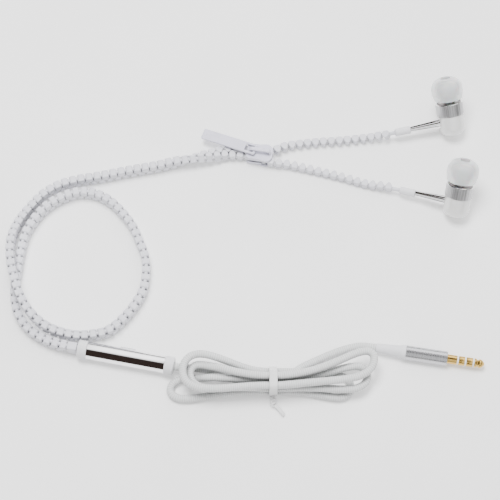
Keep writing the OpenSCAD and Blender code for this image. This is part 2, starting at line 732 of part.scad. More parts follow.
module rearCollar() {
    color("white") translate([tube_len, 0, 0]) difference() {
        union() {
            cylinderX(0, collar_len - 0.8, collar_r, collar_r);
            cylinderX(collar_len - 0.8 - eps, 0.8, collar_r, collar_r - 0.6);
            cylinderX(-spigot_len, spigot_len + eps, tube_in - 0.03, tube_in - 0.03);
        }
        cylinderX(0.5, collar_len, cord_r + cord_clear, cord_r + cord_clear);
        cylinderX(-board_x - eps, 3, 1, 1);
        boardSlot(-board_x - spigot_len - 1);
    }
}

module cylinderX(x, h, r1, r2) { alongX(x) cylinder(r1 = r1, r2 = r2, h = h); }

module splitterTube() {
    color("silver") difference() {
        cylinderX(0.01, tube_len - 0.02, tube_r, tube_r);
        cylinderX(-eps, tube_len + 1, tube_in, tube_in);
        translate([window_x - button_l / 2 - fit, 0, -button_w / 2 - fit])
            cube([button_l + 2 * fit, tube_r + 1, button_w + 2 * fit]);
        translate([port_x, 0, 0]) rotate([-90, 0, 0]) cylinder(r = port_r, h = tube_r + 1);
    }
}

module micBoard() {
    color("seagreen") translate([board_x, -mic_board_t / 2, -mic_board_w / 2])
        cube([board_len, mic_board_t, mic_board_w]);
}

module micCapsule() {
    color("gold") translate([port_x, mic_board_t / 2, 0]) rotate([-90, 0, 0])
        cylinder(r = capsule_r, h = capsule_h);
}

module buttonSwitch() {
    color("dimgray") {
        translate([window_x - 2, mic_board_t / 2, -1.4]) cube([4, switch_h - 0.3, 2.8]);
        translate([window_x, mic_board_t / 2 + switch_h - 0.3 - eps, 0]) rotate([-90, 0, 0])
            cylinder(r = 0.9, h = 0.3 + eps);
    }
}

module callButton() {
    y0 = mic_board_t / 2 + switch_h + button_travel + fit;
    color("gainsboro") {
        translate([window_x - button_l / 2 - 0.6, y0, -button_w / 2 - 0.3])
            cube([button_l + 1.2, flange_y + 0.4 - y0, button_w + 0.6]);
        translate([window_x - button_l / 2, y0, -button_w / 2])
            cube([button_l, tube_r + button_proud - y0, button_w]);
    }
}

// ---- lower cord ----
// Hank: turn k starts at the waist in the upper lane, goes round the right lobe and then the left.
// It changes layer on its way back to the waist, and the last turn comes down into the outer lane.
function hankPoint(q) =
    let (k = min(floor(q / 360), hank_turns - 1), f = q - 360 * k, right = f < 180,
        lobe = lobes[2 * k + (right ? 0 : 1)], s = abs(sin(f)), last = k == hank_turns - 1,
        x = waist[0] + lobe[0] * sin(f),
        y = waist[1] + lobe[1] * pow(s, 1.7) + cos(f) * (lane_step / 2 + lobe[2] * pow(s, lobe[3])),
        climb = f > 270 ? climbs[k][2] * ease((x - climbs[k][0]) / climbs[k][1]) : 0,
        shift = last ? lane_step * ease((f - 250) / 60) : 0,
        lift = waist_lift * pow(1 - s * s, 2))
    [x, y + shift, cord_z + lift + layer_step * (k + climb)];
hank_turns = 3;
function hankPath(step) = concat(
    [[waist[0] - end_run, in_lane, lane_z], [waist[0] - end_run + 3, in_lane, lane_z]],
    [for (q = [0 : step : 360 * hank_turns]) hankPoint(min(q, 360 * hank_turns - 0.001))],
    [[waist[0] + end_run - 3, out_lane, lane_z], [waist[0] + end_run, out_lane, lane_z]]);
hank_path = hankPath(15);
// Least distance between stretches of the hank that lie more than two cord diameters apart along it
hank_fine = hankPath(5);
hank_runs = runs(hank_fine);
hank_gap = min([for (i = [0 : len(hank_fine) - 1]) for (j = [i + 1 : 1 : len(hank_fine) - 1])
    if (hank_runs[j] - hank_runs[i] > 14) norm(hank_fine[i] - hank_fine[j])]) - 2 * cord_r;
echo(least_gap_of_hank_to_itself = hank_gap, hank_length = total(hank_fine));

module cordHank() { color("white") home() tube(hank_path, cord_r, 6); }

module cordLead(route) {
    path = smoothPath(route, 6);
    tab = table(path);
    length = total(path);
    count = ceil(length / 2.4);
    color("white") home() tube(concat([at(tab, 0)], [for (k = [1 : count - 1]) at(tab, length * k / count)],
        [at(tab, length)]), cord_r, 8);
}

// Band round the bundle, its twisted ends and the tail
module twistTie() {
    gap = 0.1;
    side_y = waist[1] - lane_step / 2 - cord_r - gap - tie_t;
    color("white") home() {
        translate([waist[0] - tie_w / 2, 0, 0]) rotate([90, 0, 90]) linear_extrude(tie_w) difference() {
            bundle(cord_r + gap + tie_t);
            bundle(cord_r + gap);
        }
        translate([waist[0], side_y + 0.3, tie_h]) rotate([90, 0, 0])
            linear_extrude(knot_len, twist = 540, slices = 12) square([2.4, 1.2], center = true);
        translate([waist[0] + 0.2, side_y - knot_len + 1, tie_h]) rotate(-42) translate([0, -0.7, -0.5])
            cube([tail_len, 1.4, 1]);
    }
}

module bundle(r) {
    hull() for (p = [[waist[1] - lane_step / 2, 0], [waist[1] + lane_step / 2, 0],
        [waist[1] - lane_step / 2, 2], [waist[1] + lane_step / 2, 2], [out_lane, 0]])
        translate([p[0], lane_z + p[1] * layer_step]) circle(r, $fn = 16);
}

// ---- plug, along +z from the strain relief ----
shell_z = relief_len;
jack_z = relief_len + shell_len;
ring_at = [jack_z + 3.7, jack_z + 6.6, jack_z + 9.6];
jack_core = 0.9;

module strainRelief() {
    color("white") difference() {
        union() {
            cylinder(r1 = relief_r1, r2 = relief_r2 - 0.4, h = relief_len - 2.2);
            translate([0, 0, relief_len - 2.2 - eps])
                cylinder(r1 = relief_r2 - 0.4, r2 = relief_r2, h = 0.7 + eps);
            translate([0, 0, relief_len - 1.5 - eps]) cylinder(r = relief_r2, h = 1.5);
        }
        translate([0, 0, -eps]) cylinder(r = cord_r + cord_clear, h = 2 + eps);
    }
}

module plugShell() { color("silver") translate([0, 0, shell_z]) cylinder(r = shell_r, h = shell_len); }

module contact(z0, z1) {
    difference() {
        translate([0, 0, z0]) cylinder(r = jack_r, h = z1 - z0);
        translate([0, 0, z0 - eps]) cylinder(r = jack_core, h = z1 - z0 + 2 * eps);
    }
}

module plugSleeve() { color("gold") contact(jack_z, ring_at[0]); }
module plugRing1() { color("gold") contact(ring_at[0] + ring_l, ring_at[1]); }
module plugRing2() { color("gold") contact(ring_at[1] + ring_l, ring_at[2]); }

module plugTip() {
    z = ring_at[2] + ring_l;
    end = jack_z + jack_len;
    color("gold") rotate_extrude() polygon([[0, z], [jack_r, z], [jack_r, z + 0.6], [1.15, z + 1.3],
        [jack_r - 0.05, z + 1.9], [jack_r - 0.15, end - 1.1], [0.9, end - 0.25], [0.5, end], [0, end]]);
}

module plugInsulators() {
    color("white") {
        translate([0, 0, jack_z]) cylinder(r = jack_core - 0.01, h = ring_at[2] - jack_z + eps);
        for (z = ring_at) translate([0, 0, z]) cylinder(r = jack_r, h = ring_l);
    }
}

// ---- nodes ----
for (i = [0, 1]) {
    side = str(SIDES[i], "_");
    atBud(i) earTip();
    atBud(i) nozzleMesh();
    atBud(i) frontShell();
    atBud(i) driverFrame();
    atBud(i) diaphragm();
    atBud(i) voiceCoil();
    atBud(i) magnet();
    atBud(i) polePlate();
    atBud(i) yoke();
    atBud(i) terminalBoard();
    atBud(i) rearShell();
    atBud(i) stem();
    atBud(i) endStop();
    strandCord(i);
    teeth(i);
}
atSlider() sliderBody();  // slider_body
atSlider() pullTab();  // pull_tab
bottomStop();  // bottom_stop
atSplitter() frontCollar();  // front_collar
atSplitter() rearCollar();  // rear_collar
atSplitter() splitterTube();  // splitter_tube
atSplitter() micBoard();  // mic_board
atSplitter() micCapsule();  // mic_capsule
atSplitter() callButton();  // call_button
atSplitter() buttonSwitch();  // button_switch
cordLead(lead_in_route);  // cord_lead_in
cordHank();  // cord_hank
cordLead(lead_out_route);  // cord_lead_out
twistTie();  // twist_tie
atPlug() strainRelief();  // plug_strain_relief
atPlug() plugShell();  // plug_shell
atPlug() plugTip();  // plug_tip
atPlug() plugRing1();  // plug_ring_1
atPlug() plugRing2();  // plug_ring_2
atPlug() plugSleeve();  // plug_sleeve
atPlug() plugInsulators();  // plug_insulators
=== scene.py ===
import math

import bmesh
import bpy
from mathutils import Matrix, Vector


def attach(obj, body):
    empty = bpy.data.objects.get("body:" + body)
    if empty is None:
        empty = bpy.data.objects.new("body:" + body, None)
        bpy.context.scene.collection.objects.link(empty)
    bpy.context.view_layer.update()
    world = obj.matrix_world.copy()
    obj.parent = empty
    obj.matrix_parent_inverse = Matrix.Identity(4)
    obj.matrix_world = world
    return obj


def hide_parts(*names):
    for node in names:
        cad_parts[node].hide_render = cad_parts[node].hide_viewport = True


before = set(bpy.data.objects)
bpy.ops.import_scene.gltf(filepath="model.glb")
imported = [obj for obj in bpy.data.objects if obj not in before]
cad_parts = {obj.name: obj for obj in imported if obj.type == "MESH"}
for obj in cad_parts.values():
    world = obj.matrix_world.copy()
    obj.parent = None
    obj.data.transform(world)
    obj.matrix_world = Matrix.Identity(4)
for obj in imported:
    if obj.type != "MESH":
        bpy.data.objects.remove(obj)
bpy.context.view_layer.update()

up = Vector((0, 0, 1))
home = Vector((-2.67, 8.19, 0))  # middle of the earphones on the table, in millimetres
tiny = 0.01


# ---- measures and paths: in millimetres, made metres on the way into a mesh ----
def mm(value):
    return value * 0.001


def toTable(p):
    return (Vector(p) - home) * 0.001


def spun(degrees, axis="Z"):
    return Matrix.Rotation(math.radians(degrees), 4, axis)


def offset(x, y, z):
    return Matrix.Translation((x, y, z))


def smoothPath(points, steps):
    p = [Vector(q) for q in points]
    path = []
    for i in range(len(p) - 1):
        a, b, c, d = p[max(i - 1, 0)], p[i], p[i + 1], p[min(i + 2, len(p) - 1)]
        for j in range(steps):
            t = j / steps
            path.append(0.5 * (2 * b + (c - a) * t + (2 * a - 5 * b + 4 * c - d) * t * t
                               + (3 * b - a - 3 * c + d) * t * t * t))
    return path + [p[-1]]


def runsOf(path):
    runs = [0.0]
    for a, b in zip(path, path[1:]):
        runs.append(runs[-1] + (b - a).length)
    return runs


def mix(a, b, t):
    return a + (b - a) * t


def lookUp(runs, values, s):
    if s <= runs[0]:
        return values[0]
    for i in range(1, len(runs)):
        if s <= runs[i]:
            return mix(values[i - 1], values[i], (s - runs[i - 1]) / (runs[i] - runs[i - 1]))
    return values[-1]


class Route:
    def __init__(self, points, steps):
        self.path = smoothPath(points, steps)
        self.runs = runsOf(self.path)
        self.length = self.runs[-1]

    def at(self, s):
        return lookUp(self.runs, self.path, s)

    def heading(self, s):
        return (self.at(s + 0.6) - self.at(s - 0.6)).normalized()


# ---- where things lie ----
bud = {"at": [(81.3, 49.2, 2.63), (80.2, 13.8, 2.38)], "yaw": [104, 80], "rise": [42, 46],
       "stemRoll": [4, 10], "rearRadius": 5.2, "rearLength": 8.3, "wall": 0.8, "stemDrop": 3.1,
       "stemLength": 11.6, "stopLength": 6.2, "boardHeight": 8.2}
slider = {"at": (3.9, 39.8, 0), "yaw": -9, "length": 10.3, "narrow": 6.7, "wide": 8.8,
          "plate": 1.0, "gap": 3.3, "flange": 1.0, "flangeWall": 0.45, "post": 0.42,
          "bailLength": 8.6, "bailWidth": 1.5, "bailWall": 0.8, "bailRoom": 1.7,
          "mouth": 2.75, "fan": (0.7, 0.15)}
splitter = {"at": (-61.4, -42.3, 3.55), "yaw": -10.9, "length": 30, "board": 2.2}
plug = {"at": (47.6, -41, 2.77), "yaw": -9.2, "relief": 11.4, "shell": 15.7, "shellRadius": 2.75,
        "contacts": 14}
chain = {"pitch": 3.2, "halfGap": 1.55, "cordRadius": 0.8, "height": 2.65, "first": 0.4,
         "twist": [(0, 0), (10, 0), (34, 90), (1000, 90)], "stopLength": 4.2, "collar": 3.5,
         "rootLength": 2.6, "rootOut": 1.1, "thickness": 3.1, "stopClear": 0.2, "stopGap": 0.4,
         "stopEdge": 0.4}
stemAt = bud["rearLength"] - bud["stemDrop"]
stemEnd = bud["rearRadius"] + bud["stemLength"]
stopEnd = stemEnd + bud["stopLength"]


def placeOf(thing):
    return offset(*thing["at"]) @ spun(thing["yaw"])


def on(thing, p):
    return Vector(thing["at"]) + Matrix.Rotation(math.radians(thing["yaw"]), 3, "Z") @ Vector(p)


def budPlace(i):
    return (offset(*bud["at"][i]) @ spun(bud["yaw"][i]) @ spun(90 - bud["rise"][i], "Y")
            @ spun(-bud["stemRoll"][i]))


def onBud(i, r, z):
    return budPlace(i) @ Vector((0, r, z))


cordHeight = chain["height"]
chainRoute = [on(slider, (-1, 0, cordHeight)), on(slider, (-5.6, 0, cordHeight))] + [
    (x, y, cordHeight + lift) for x, y, lift in [
    (-9, 40.8, 0), (-14.5, 39.6, 0.18), (-20, 38.5, 0.45), (-25, 37.4, 0.5), (-31, 36, 0.4),
    (-37, 34.5, 0.05), (-48, 32.4, 0), (-59, 30, 0), (-68, 28.4, 0), (-75, 26.2, 0),
    (-81, 22.4, 0), (-85.6, 17.2, 0.1), (-89, 12, 0.9), (-91.3, 6, 2.7), (-92.2, 0, 4.8),
    (-91.9, -6, 5.5), (-91, -11, 5.5), (-89.4, -16, 5.5), (-87.6, -21, 5.5), (-85, -26, 5.5),
    (-81.6, -30.2, 5), (-77.4, -33.4, 3.3), (-72, -35.3, 1.2), (-66, -36.3, 0.13),
    (-60, -36, 0.05), (-54, -34.5, 0), (-48.6, -30, 0), (-44, -24, 0), (-41, -18, 0),
    (-40, -11, 0), (-40.5, -4.5, 0), (-42.8, 2, 0), (-45.7, 8.5, 0), (-49.8, 14.2, 0),
    (-55, 19.4, 0), (-61.3, 22.6, 0), (-68, 23, 0), (-74.6, 20.6, 0), (-80, 16.8, 0),
    (-84.2, 11.5, 0), (-87.2, 5.5, 0), (-88.6, -1, 0), (-89.3, -7, 0), (-89.9, -13, 0),
    (-90.2, -19, 0), (-89.3, -25, 0), (-87, -30, 0), (-83.6, -34, 0), (-79, -37.2, 0),
    (-73.8, -39.5, 0.4)]] + [
    on(splitter, (-6.5, 0, -0.1)), on(splitter, (-chain["collar"], 0, 0)),
    on(splitter, (splitter["board"], 0, 0))]
chainLine = Route(chainRoute, 8)
stopStart = chainLine.length - splitter["board"] - chain["collar"] - chain["stopLength"]
openPoints = [
    [(50.5, 48.2, 2.3), (45, 47.6, 1.8), (36.5, 46.6, 1.7), (28, 46, 1.7), (20, 45.1, 1.8),
     (14, 43.9, 2.2)],
    [(53, 25.6, 2.7), (45.5, 27.2, 1.65), (36, 30.2, 1.6), (27, 32.6, 1.6), (19.5, 34.4, 1.8),
     (14, 35.6, 2.2)]]


def across(s):
    t = chainLine.heading(s)
    side = up.cross(t).normalized()
    a = math.radians(lookUp([k for k, v in chain["twist"]], [v for k, v in chain["twist"]], s))
    return math.cos(a) * side + math.sin(a) * t.cross(side)


def onChain(i, s):
    return chainLine.at(s) + (-1, 1)[i] * chain["halfGap"] * across(s)


def openRoute(i):
    e = (1, -1)[i]
    mouth = slider["length"] / 2
    board = bud["boardHeight"]
    return Route([onBud(i, 0, board), onBud(i, 0, board - 1.2), onBud(i, 1.6, stemAt + 0.15),
                  onBud(i, bud["rearRadius"] - bud["wall"], stemAt), onBud(i, stemEnd - 4, stemAt),
                  onBud(i, stopEnd, stemAt)] + openPoints[i] + [
                  on(slider, (mouth + 1, e * (slider["mouth"] + slider["fan"][i]), cordHeight)),
                  on(slider, (mouth - 1.5, e * (slider["mouth"] - 0.4), cordHeight)),
                  on(slider, (1.2, e * (chain["halfGap"] + 0.12), cordHeight)), onChain(i, 0)], 6)


openLines = [openRoute(0), openRoute(1)]

# Lower cord: into the hank, three turns, and out to the plug
hank = {"radius": 1.45, "waist": (8.7, -55.9), "lane": 3.7, "layer": 3.45, "lift": 0.75,
        "low": 1.5, "end": 7,
        "lobes": [(29, 0, 10, 3), (38.6, -1.2, 9, 3), (35.3, 3.2, 10.5, 3), (31.2, 4, 10.5, 3),
                  (37.7, 8.7, 11.2, 3), (33.8, 3.2, 9.5, 2)],
        "climbs": [(-21, 8, 1), (-18, 10, 1), (-17, 21, -2)]}
waistX, waistY = hank["waist"]
inLane = waistY + 0.5 * hank["lane"]
outLane = waistY + 1.5 * hank["lane"]
laneZ = hank["low"] + hank["lift"]


def ease(u):
    v = min(max(u, 0), 1)
    return v * v * (3 - 2 * v)


# Each turn starts at the waist, goes round the right lobe and then the left, and changes layer on its
# way back; the last one comes down into the outer lane. q is the angle gone, in degrees
def hankPoint(q):
    k = min(int(q // 360), 2)
    f = q - 360 * k
    reach, rise, bulge, fullness = hank["lobes"][2 * k + (0 if f < 180 else 1)]
    last = k == 2 and f >= 180
    s = abs(math.sin(math.radians(f)))
    x = waistX + reach * math.sin(math.radians(f))
    y = waistY + rise * s ** 1.7 + math.cos(math.radians(f)) * (hank["lane"] / 2 + bulge * s ** fullness)
    start, length, layers = hank["climbs"][k]
    climb = layers * ease((x - start) / length) if f > 270 else 0
    aside = hank["lane"] * ease((f - 250) / 60) if last else 0
    z = hank["low"] + hank["lift"] * (1 - s * s) ** 2 + hank["layer"] * (k + climb)
    return Vector((x, y + aside, z))


leadIn = Route([on(splitter, (30.6, 0, 0)), on(splitter, (32.6, 0, 0)), on(splitter, (34.4, 0, -0.1)),
                (-22, -48.6, 1.8), (-17, -49.2, 1.5), (-12, -50.5, 1.5), (-6, -53, 1.7),
                (waistX - hank["end"] - 1.5, inLane - 0.05, laneZ),
                (waistX - hank["end"], inLane, laneZ)], 6)
leadOut = Route([(waistX + hank["end"] + 0.2, outLane, laneZ),
                 (waistX + hank["end"] + 1.4, outLane + 0.06, laneZ), (20, -48.2, 1.9),
                 (25, -45.7, 1.5), (31, -43, 1.5), (37, -40.9, 1.5), (42, -40.1, 1.9),
                 on(plug, (-1.5, 0, 0)), on(plug, (0.1, 0, 0)), on(plug, (1.9, 0, 0))], 6)
hankLine = [Vector((waistX - hank["end"] + 3, inLane, laneZ))] + [
    hankPoint(min(q, 1079.999)) for q in range(0, 1081, 5)] + [
    Vector((waistX + hank["end"] - 3, outLane, laneZ))]
print("stage: routes, chain", round(chainLine.length, 1), "hank",
      round(runsOf(hankLine)[-1], 1))


# ---- camera and light ----
camera = {"elevation": 68, "distance": 0.6, "lens": 110.8, "sensor": 36}
light = {"world": 2.0, "top": 12, "size": 0.4, "topAt": (-0.12, 0.16, 0.8), "floorGlow": 0.35,
         "floorSize": 60, "floorDrop": 0.12, "turn": Vector((1, -0.19, 0)),
         "white": (1.7, 1.7, 1.7, 1), "front": (0.75, 0.75, 0.75, 1), "frontEnds": (-0.1, 0.45),
         "side": (0.22, 0.22, 0.22, 1), "sideEnds": (0.5, 0.85),
         "low": (0.07, 0.065, 0.06, 1), "lowEnds": (0.55, 0.05), "dark": (0.02, 0.014, 0.012, 1),
         "screens": [((-0.32, -0.24), (0.02, -0.05), (-2, -1), (0.14, -0.14)),
                     ((-2, -1), (-0.15, -0.19), (0.28, 0.38), (3, 2)),
                     ((-2, -1), (-0.28, -0.34), (-0.3, -0.2), (3, 2)),
                     ((-0.12, -0.1), (0.18, 0.14), (-0.32, -0.24), (0.5, 0.42))]}


def addObject(name, data):
    thing = bpy.data.objects.new(name, data)
    bpy.context.collection.objects.link(thing)
    return thing


def makeCamera():
    data = bpy.data.cameras.new("camera")
    data.lens = camera["lens"]
    data.sensor_width = camera["sensor"]
    seat = addObject("camera", data)
    rise = math.radians(camera["elevation"])
    away = Vector((0, -math.cos(rise), math.sin(rise)))
    seat.location = toTable((0, 0, 0)) + away * camera["distance"]
    seat.rotation_euler = (math.pi / 2 - rise, 0, 0)
    bpy.context.scene.camera = seat


# New node: its own settings, and each input set or linked to another node's output
def addNode(tree, kind, inputs=(), **settings):
    node = tree.nodes.new("ShaderNode" + kind)
    for name, value in settings.items():
        setattr(node, name, value)
    for socket, value in dict(inputs).items():
        feed(tree, node.inputs[socket], value)
    return node


def feed(tree, socket, value):
    if isinstance(value, bpy.types.NodeSocket):
        tree.links.new(value, socket)
    else:
        socket.default_value = value


def blend(tree, a, b, factor, kind="MIX"):
    return addNode(tree, "Mix", {"A": a, "B": b, "Factor": factor}, data_type="RGBA",
                   blend_type=kind).outputs["Result"]


# Smooth step of a value, from nothing at one bound to all at the other
def fade(tree, value, start, end):
    return addNode(tree, "MapRange", {"From Min": start, "From Max": end, "Value": value},
                   interpolation_type="SMOOTHSTEP").outputs["Result"]


def product(tree, a, b):
    return addNode(tree, "Math", {0: a, 1: b}, operation="MULTIPLY").outputs[0]


# Pale room, dimmer at the sides and low down, with dark screens that the polished parts reflect as
# stripes. A screen's place is two bounds across the splitter's upright plane and two in depth
def makeWorld():
    world = bpy.data.worlds.new("studio")
    bpy.context.scene.world = world
    world.use_nodes = True
    tree = world.node_tree
    where = addNode(tree, "TexCoord").outputs["Generated"]
    split = addNode(tree, "SeparateXYZ", {0: where})
    depth = split.outputs["Y"]
    turn = addNode(tree, "VectorMath", {0: where, 1: light["turn"]}, operation="DOT_PRODUCT")
    sideways = turn.outputs["Value"]
    beside = addNode(tree, "Math", {0: split.outputs["X"]}, operation="ABSOLUTE").outputs[0]
    room = blend(tree, light["front"], light["white"], fade(tree, depth, *light["frontEnds"]))
    room = blend(tree, room, light["side"], fade(tree, beside, *light["sideEnds"]))
    room = blend(tree, room, light["low"], fade(tree, split.outputs["Z"], *light["lowEnds"]))
    for left, right, near, far in light["screens"]:
        width = product(tree, fade(tree, sideways, *left), fade(tree, sideways, *right))
        reach = product(tree, fade(tree, depth, *near), fade(tree, depth, *far))
        room = blend(tree, room, light["dark"], product(tree, width, reach))
    back = tree.nodes["Background"]
    feed(tree, back.inputs["Color"], room)
    feed(tree, back.inputs["Strength"], light["world"])


def makeLight():
    data = bpy.data.lights.new("softTop", "AREA")
    data.shape = "DISK"
    data.size = light["size"]
    data.energy = light["top"]
    lamp = addObject("softTop", data)
    lamp.location = light["topAt"]
    lamp.rotation_euler = (-lamp.location).to_track_quat("-Z", "Y").to_euler()
    lamp.visible_glossy = False


def makeFloor():
    bpy.ops.object.select_all(action="DESELECT")
    bpy.ops.mesh.primitive_plane_add(size=light["floorSize"], location=(0, 0, -mm(light["floorDrop"])))
    floor = bpy.context.object
    floor.name = "floor"
    floor.data.materials.append(plastic("floorPaint", (0.93, 0.93, 0.93), 0.6, grain=60, depth=0.0, **{
        "Emission Color": (1, 1, 1, 1), "Emission Strength": light["floorGlow"]}))


# ---- materials ----
def newMaterial(name, color, roughness, metallic=0.0, **extra):
    material = bpy.data.materials.new(name)
    material.use_nodes = True
    shader = material.node_tree.nodes["Principled BSDF"]
    settings = {"Base Color": (*color, 1), "Roughness": roughness, "Metallic": metallic, **extra}
    for socket, value in settings.items():
        shader.inputs[socket].default_value = value
    return material, material.node_tree, shader


def coordinates(tree, stretch=(1, 1, 1), source="Object"):
    where = addNode(tree, "TexCoord").outputs[source]
    return addNode(tree, "Mapping", {"Scale": stretch, "Vector": where}).outputs["Vector"]


def noise(tree, vector, scale, detail=3.0):
    return addNode(tree, "TexNoise", {"Scale": scale, "Detail": detail, "Vector": vector}).outputs["Fac"]


def spread(tree, value, low, high, start=0.3, end=0.7):
    return addNode(tree, "MapRange", {"From Min": start, "From Max": end, "To Min": low, "To Max": high,
                                      "Value": value}).outputs["Result"]


def roughen(tree, value, shader, low, high):
    feed(tree, shader.inputs["Roughness"], spread(tree, value, low, high))


def tint(tree, value, shader, low, high):
    ramp = addNode(tree, "ValToRGB", {"Fac": value})
    for element, position, color in zip(ramp.color_ramp.elements, (0.3, 0.7), (low, high)):
        element.position = position
        element.color = (*color, 1)
    feed(tree, shader.inputs["Base Color"], ramp.outputs["Color"])


# Painted shade: crevices a little darker than the open surface, read from ambient occlusion
def paintCreviceShade(tree, shader, reach, dark):
    creviceShade = addNode(tree, "AmbientOcclusion", {"Distance": reach}, samples=8)
    shade = spread(tree, creviceShade.outputs["AO"], dark, 1.0, 0.25, 0.85)
    base = shader.inputs["Base Color"]
    feed(tree, base, blend(tree, base.links[0].from_socket, shade, 1.0, "MULTIPLY"))


def emboss(tree, value, shader, depth):
    bump = addNode(tree, "Bump", {"Distance": depth, "Strength": 1.0, "Height": value})
    feed(tree, shader.inputs["Normal"], bump.outputs["Normal"])


def shaded(color, factor):
    return tuple(min(c * factor, 1) for c in color)


def plastic(name, color, roughness, grain=900, depth=0.00001, vary=0.04, creviceShade=None, **extra):
    material, tree, shader = newMaterial(name, color, roughness, **extra)
    vector = coordinates(tree)
    cloud = noise(tree, vector, grain * 0.25)
    tint(tree, cloud, shader, shaded(color, 1 - vary), shaded(color, 1 + vary * 0.5))
    roughen(tree, cloud, shader, roughness * 0.88, roughness * 1.12)
    if depth:
        emboss(tree, noise(tree, vector, grain * 4, 2), shader, depth)
    # painted shade in the crevices, when asked for
    if creviceShade:
        paintCreviceShade(tree, shader, *creviceShade)
    return material


def metal(name, color, roughness, grain=1500, vary=0.05):
    material, tree, shader = newMaterial(name, color, roughness, 1.0)
    cloud = noise(tree, coordinates(tree), grain * 0.2)
    tint(tree, cloud, shader, shaded(color, 1 - vary), shaded(color, 1 + vary))
    roughen(tree, cloud, shader, roughness * 0.8, roughness * 1.25)
    return material


# Metal with fine lines that follow its own map: round the piece, or along it
def brushed(name, color, roughness, around, along, depth, vary=0.12):
    material, tree, shader = newMaterial(name, color, roughness, 1.0)
    streaks = noise(tree, coordinates(tree, (around, along, 1), "UV"), 1.0, 6)
    tint(tree, streaks, shader, shaded(color, 1 - vary), shaded(color, 1 + vary))
    roughen(tree, streaks, shader, roughness * 0.75, roughness * 1.3)
    emboss(tree, streaks, shader, depth)
    return material


# Cord jacket: fine ribs across the cord, with painted shade in the rib troughs and in the crevices
def ribbed(name, color, roughness, spacing, depth):
    material, tree, shader = newMaterial(name, color, roughness)
    vector = coordinates(tree, (1, 1 / spacing, 1), "UV")
    oneWave = 0.314  # scale at which a wave takes one unit of the map
    wave = addNode(tree, "TexWave", {"Scale": oneWave, "Distortion": 0.25, "Vector": vector},
                   bands_direction="Y").outputs["Fac"]
    # the rib troughs are painted darker, as painted shade
    tint(tree, wave, shader, shaded(color, 0.86), shaded(color, 1.03))
    emboss(tree, wave, shader, depth)
    paintCreviceShade(tree, shader, 0.004, 0.5)
    return material


# Woven mesh: the openings between the wires are painted dark, as painted shade seen through them
def wovenMesh(name, color, cellsPerMetre=5200):
    material, tree, shader = newMaterial(name, color, 0.4, 1.0)
    vector = coordinates(tree, (cellsPerMetre,) * 3)
    cells = addNode(tree, "TexVoronoi", {"Scale": 1.0, "Randomness": 0.15, "Vector": vector})
    tint(tree, cells.outputs["Distance"], shader, shaded(color, 0.12), color)
    return material


# Wound wire: the grooves between turns are painted darker, as painted shade
def woundCoil(name, color):
    material, tree, shader = newMaterial(name, color, 0.35, 1.0)
    turns = addNode(tree, "TexWave", {"Scale": 2600, "Vector": coordinates(tree)},
                    bands_direction="Z").outputs["Fac"]
    tint(tree, turns, shader, shaded(color, 0.55), color)
    emboss(tree, turns, shader, 0.00003)
    return material


# Silicone: lets some light through
def silicone(name, color, roughness):
    material, tree, shader = newMaterial(name, color, roughness, **{
        "Transmission Weight": 0.32, "IOR": 1.41, "Subsurface Weight": 0.25, "Subsurface Scale": 0.002})
    cloud = noise(tree, coordinates(tree), 260)
    tint(tree, cloud, shader, shaded(color, 0.97), shaded(color, 1.02))
    roughen(tree, cloud, shader, roughness * 0.9, roughness * 1.1)
    return material


looks = {
    "silicone": silicone("softSilicone", (0.74, 0.75, 0.76), 0.34),
    "brushedAluminium": brushed("brushedAluminium", (0.5, 0.5, 0.51), 0.4, 18, 0.5, 0.00009, 0.42),
    "polishedRim": metal("polishedRim", (0.9, 0.9, 0.9), 0.07),
    "pearl": plastic("pearlGloss", (0.8, 0.8, 0.79), 0.16, depth=0, **{
        "Coat Weight": 1.0, "Coat Roughness": 0.05, "Coat IOR": 1.8}),
    "chrome": metal("polishedChrome", (0.9, 0.9, 0.91), 0.05),
    "softWhite": plastic("softWhite", (0.78, 0.78, 0.81), 0.42, depth=0.000004),
    # teeth, strand cords and slider enamel get painted shade in their crevices
    "toothWhite": plastic("toothWhite", (0.72, 0.72, 0.77), 0.4, depth=0.000006, creviceShade=(0.002, 0.6)),
    "cordWhite": plastic("strandCordWhite", (0.72, 0.72, 0.77), 0.55, depth=0.00002, creviceShade=(0.002, 0.5)),
    "enamel": plastic("sliderEnamel", (0.7, 0.69, 0.8), 0.28, depth=0, creviceShade=(0.002, 0.7), **{
        "Coat Weight": 0.4}),
    "collarWhite": plastic("collarWhite", (0.76, 0.76, 0.78), 0.38, depth=0.000004),
    "jacket": ribbed("ribbedJacket", (0.72, 0.73, 0.73), 0.5, 0.0008, 0.0001),
    "tie": plastic("tiePlastic", (0.8, 0.8, 0.8), 0.3, depth=0),
    "turnedShell": brushed("turnedShell", (0.52, 0.52, 0.54), 0.26, 0.6, 220, 0.00001),
    "gold": metal("goldPlate", (0.66, 0.43, 0.12), 0.2),
    "ringWhite": plastic("ringWhite", (0.86, 0.86, 0.85), 0.4),
    "mesh": wovenMesh("nozzleWeave", (0.42, 0.42, 0.43)),
    "frameWhite": plastic("frameResin", (0.72, 0.72, 0.7), 0.5),
    "film": plastic("speakerFilm", (0.66, 0.65, 0.6), 0.3),
    "copper": woundCoil("enamelledCopper", (0.8, 0.42, 0.24)),
    "nickel": metal("nickelPlate", (0.66, 0.65, 0.63), 0.22),
    "board": plastic("solderMask", (0.05, 0.26, 0.13), 0.35),
    "brass": metal("brassCan", (0.78, 0.6, 0.34), 0.25),
    "steel": metal("stampedSteel", (0.58, 0.58, 0.58), 0.3),
}


# ---- modelling steps ----
def deselect():
    if bpy.context.mode != "OBJECT":
        bpy.ops.object.mode_set(mode="OBJECT")
    bpy.ops.object.select_all(action="DESELECT")


def begin(name, add, **settings):
    deselect()
    add(**settings)
    piece = bpy.context.object
    piece.name = name
    piece.data.name = name
    return piece


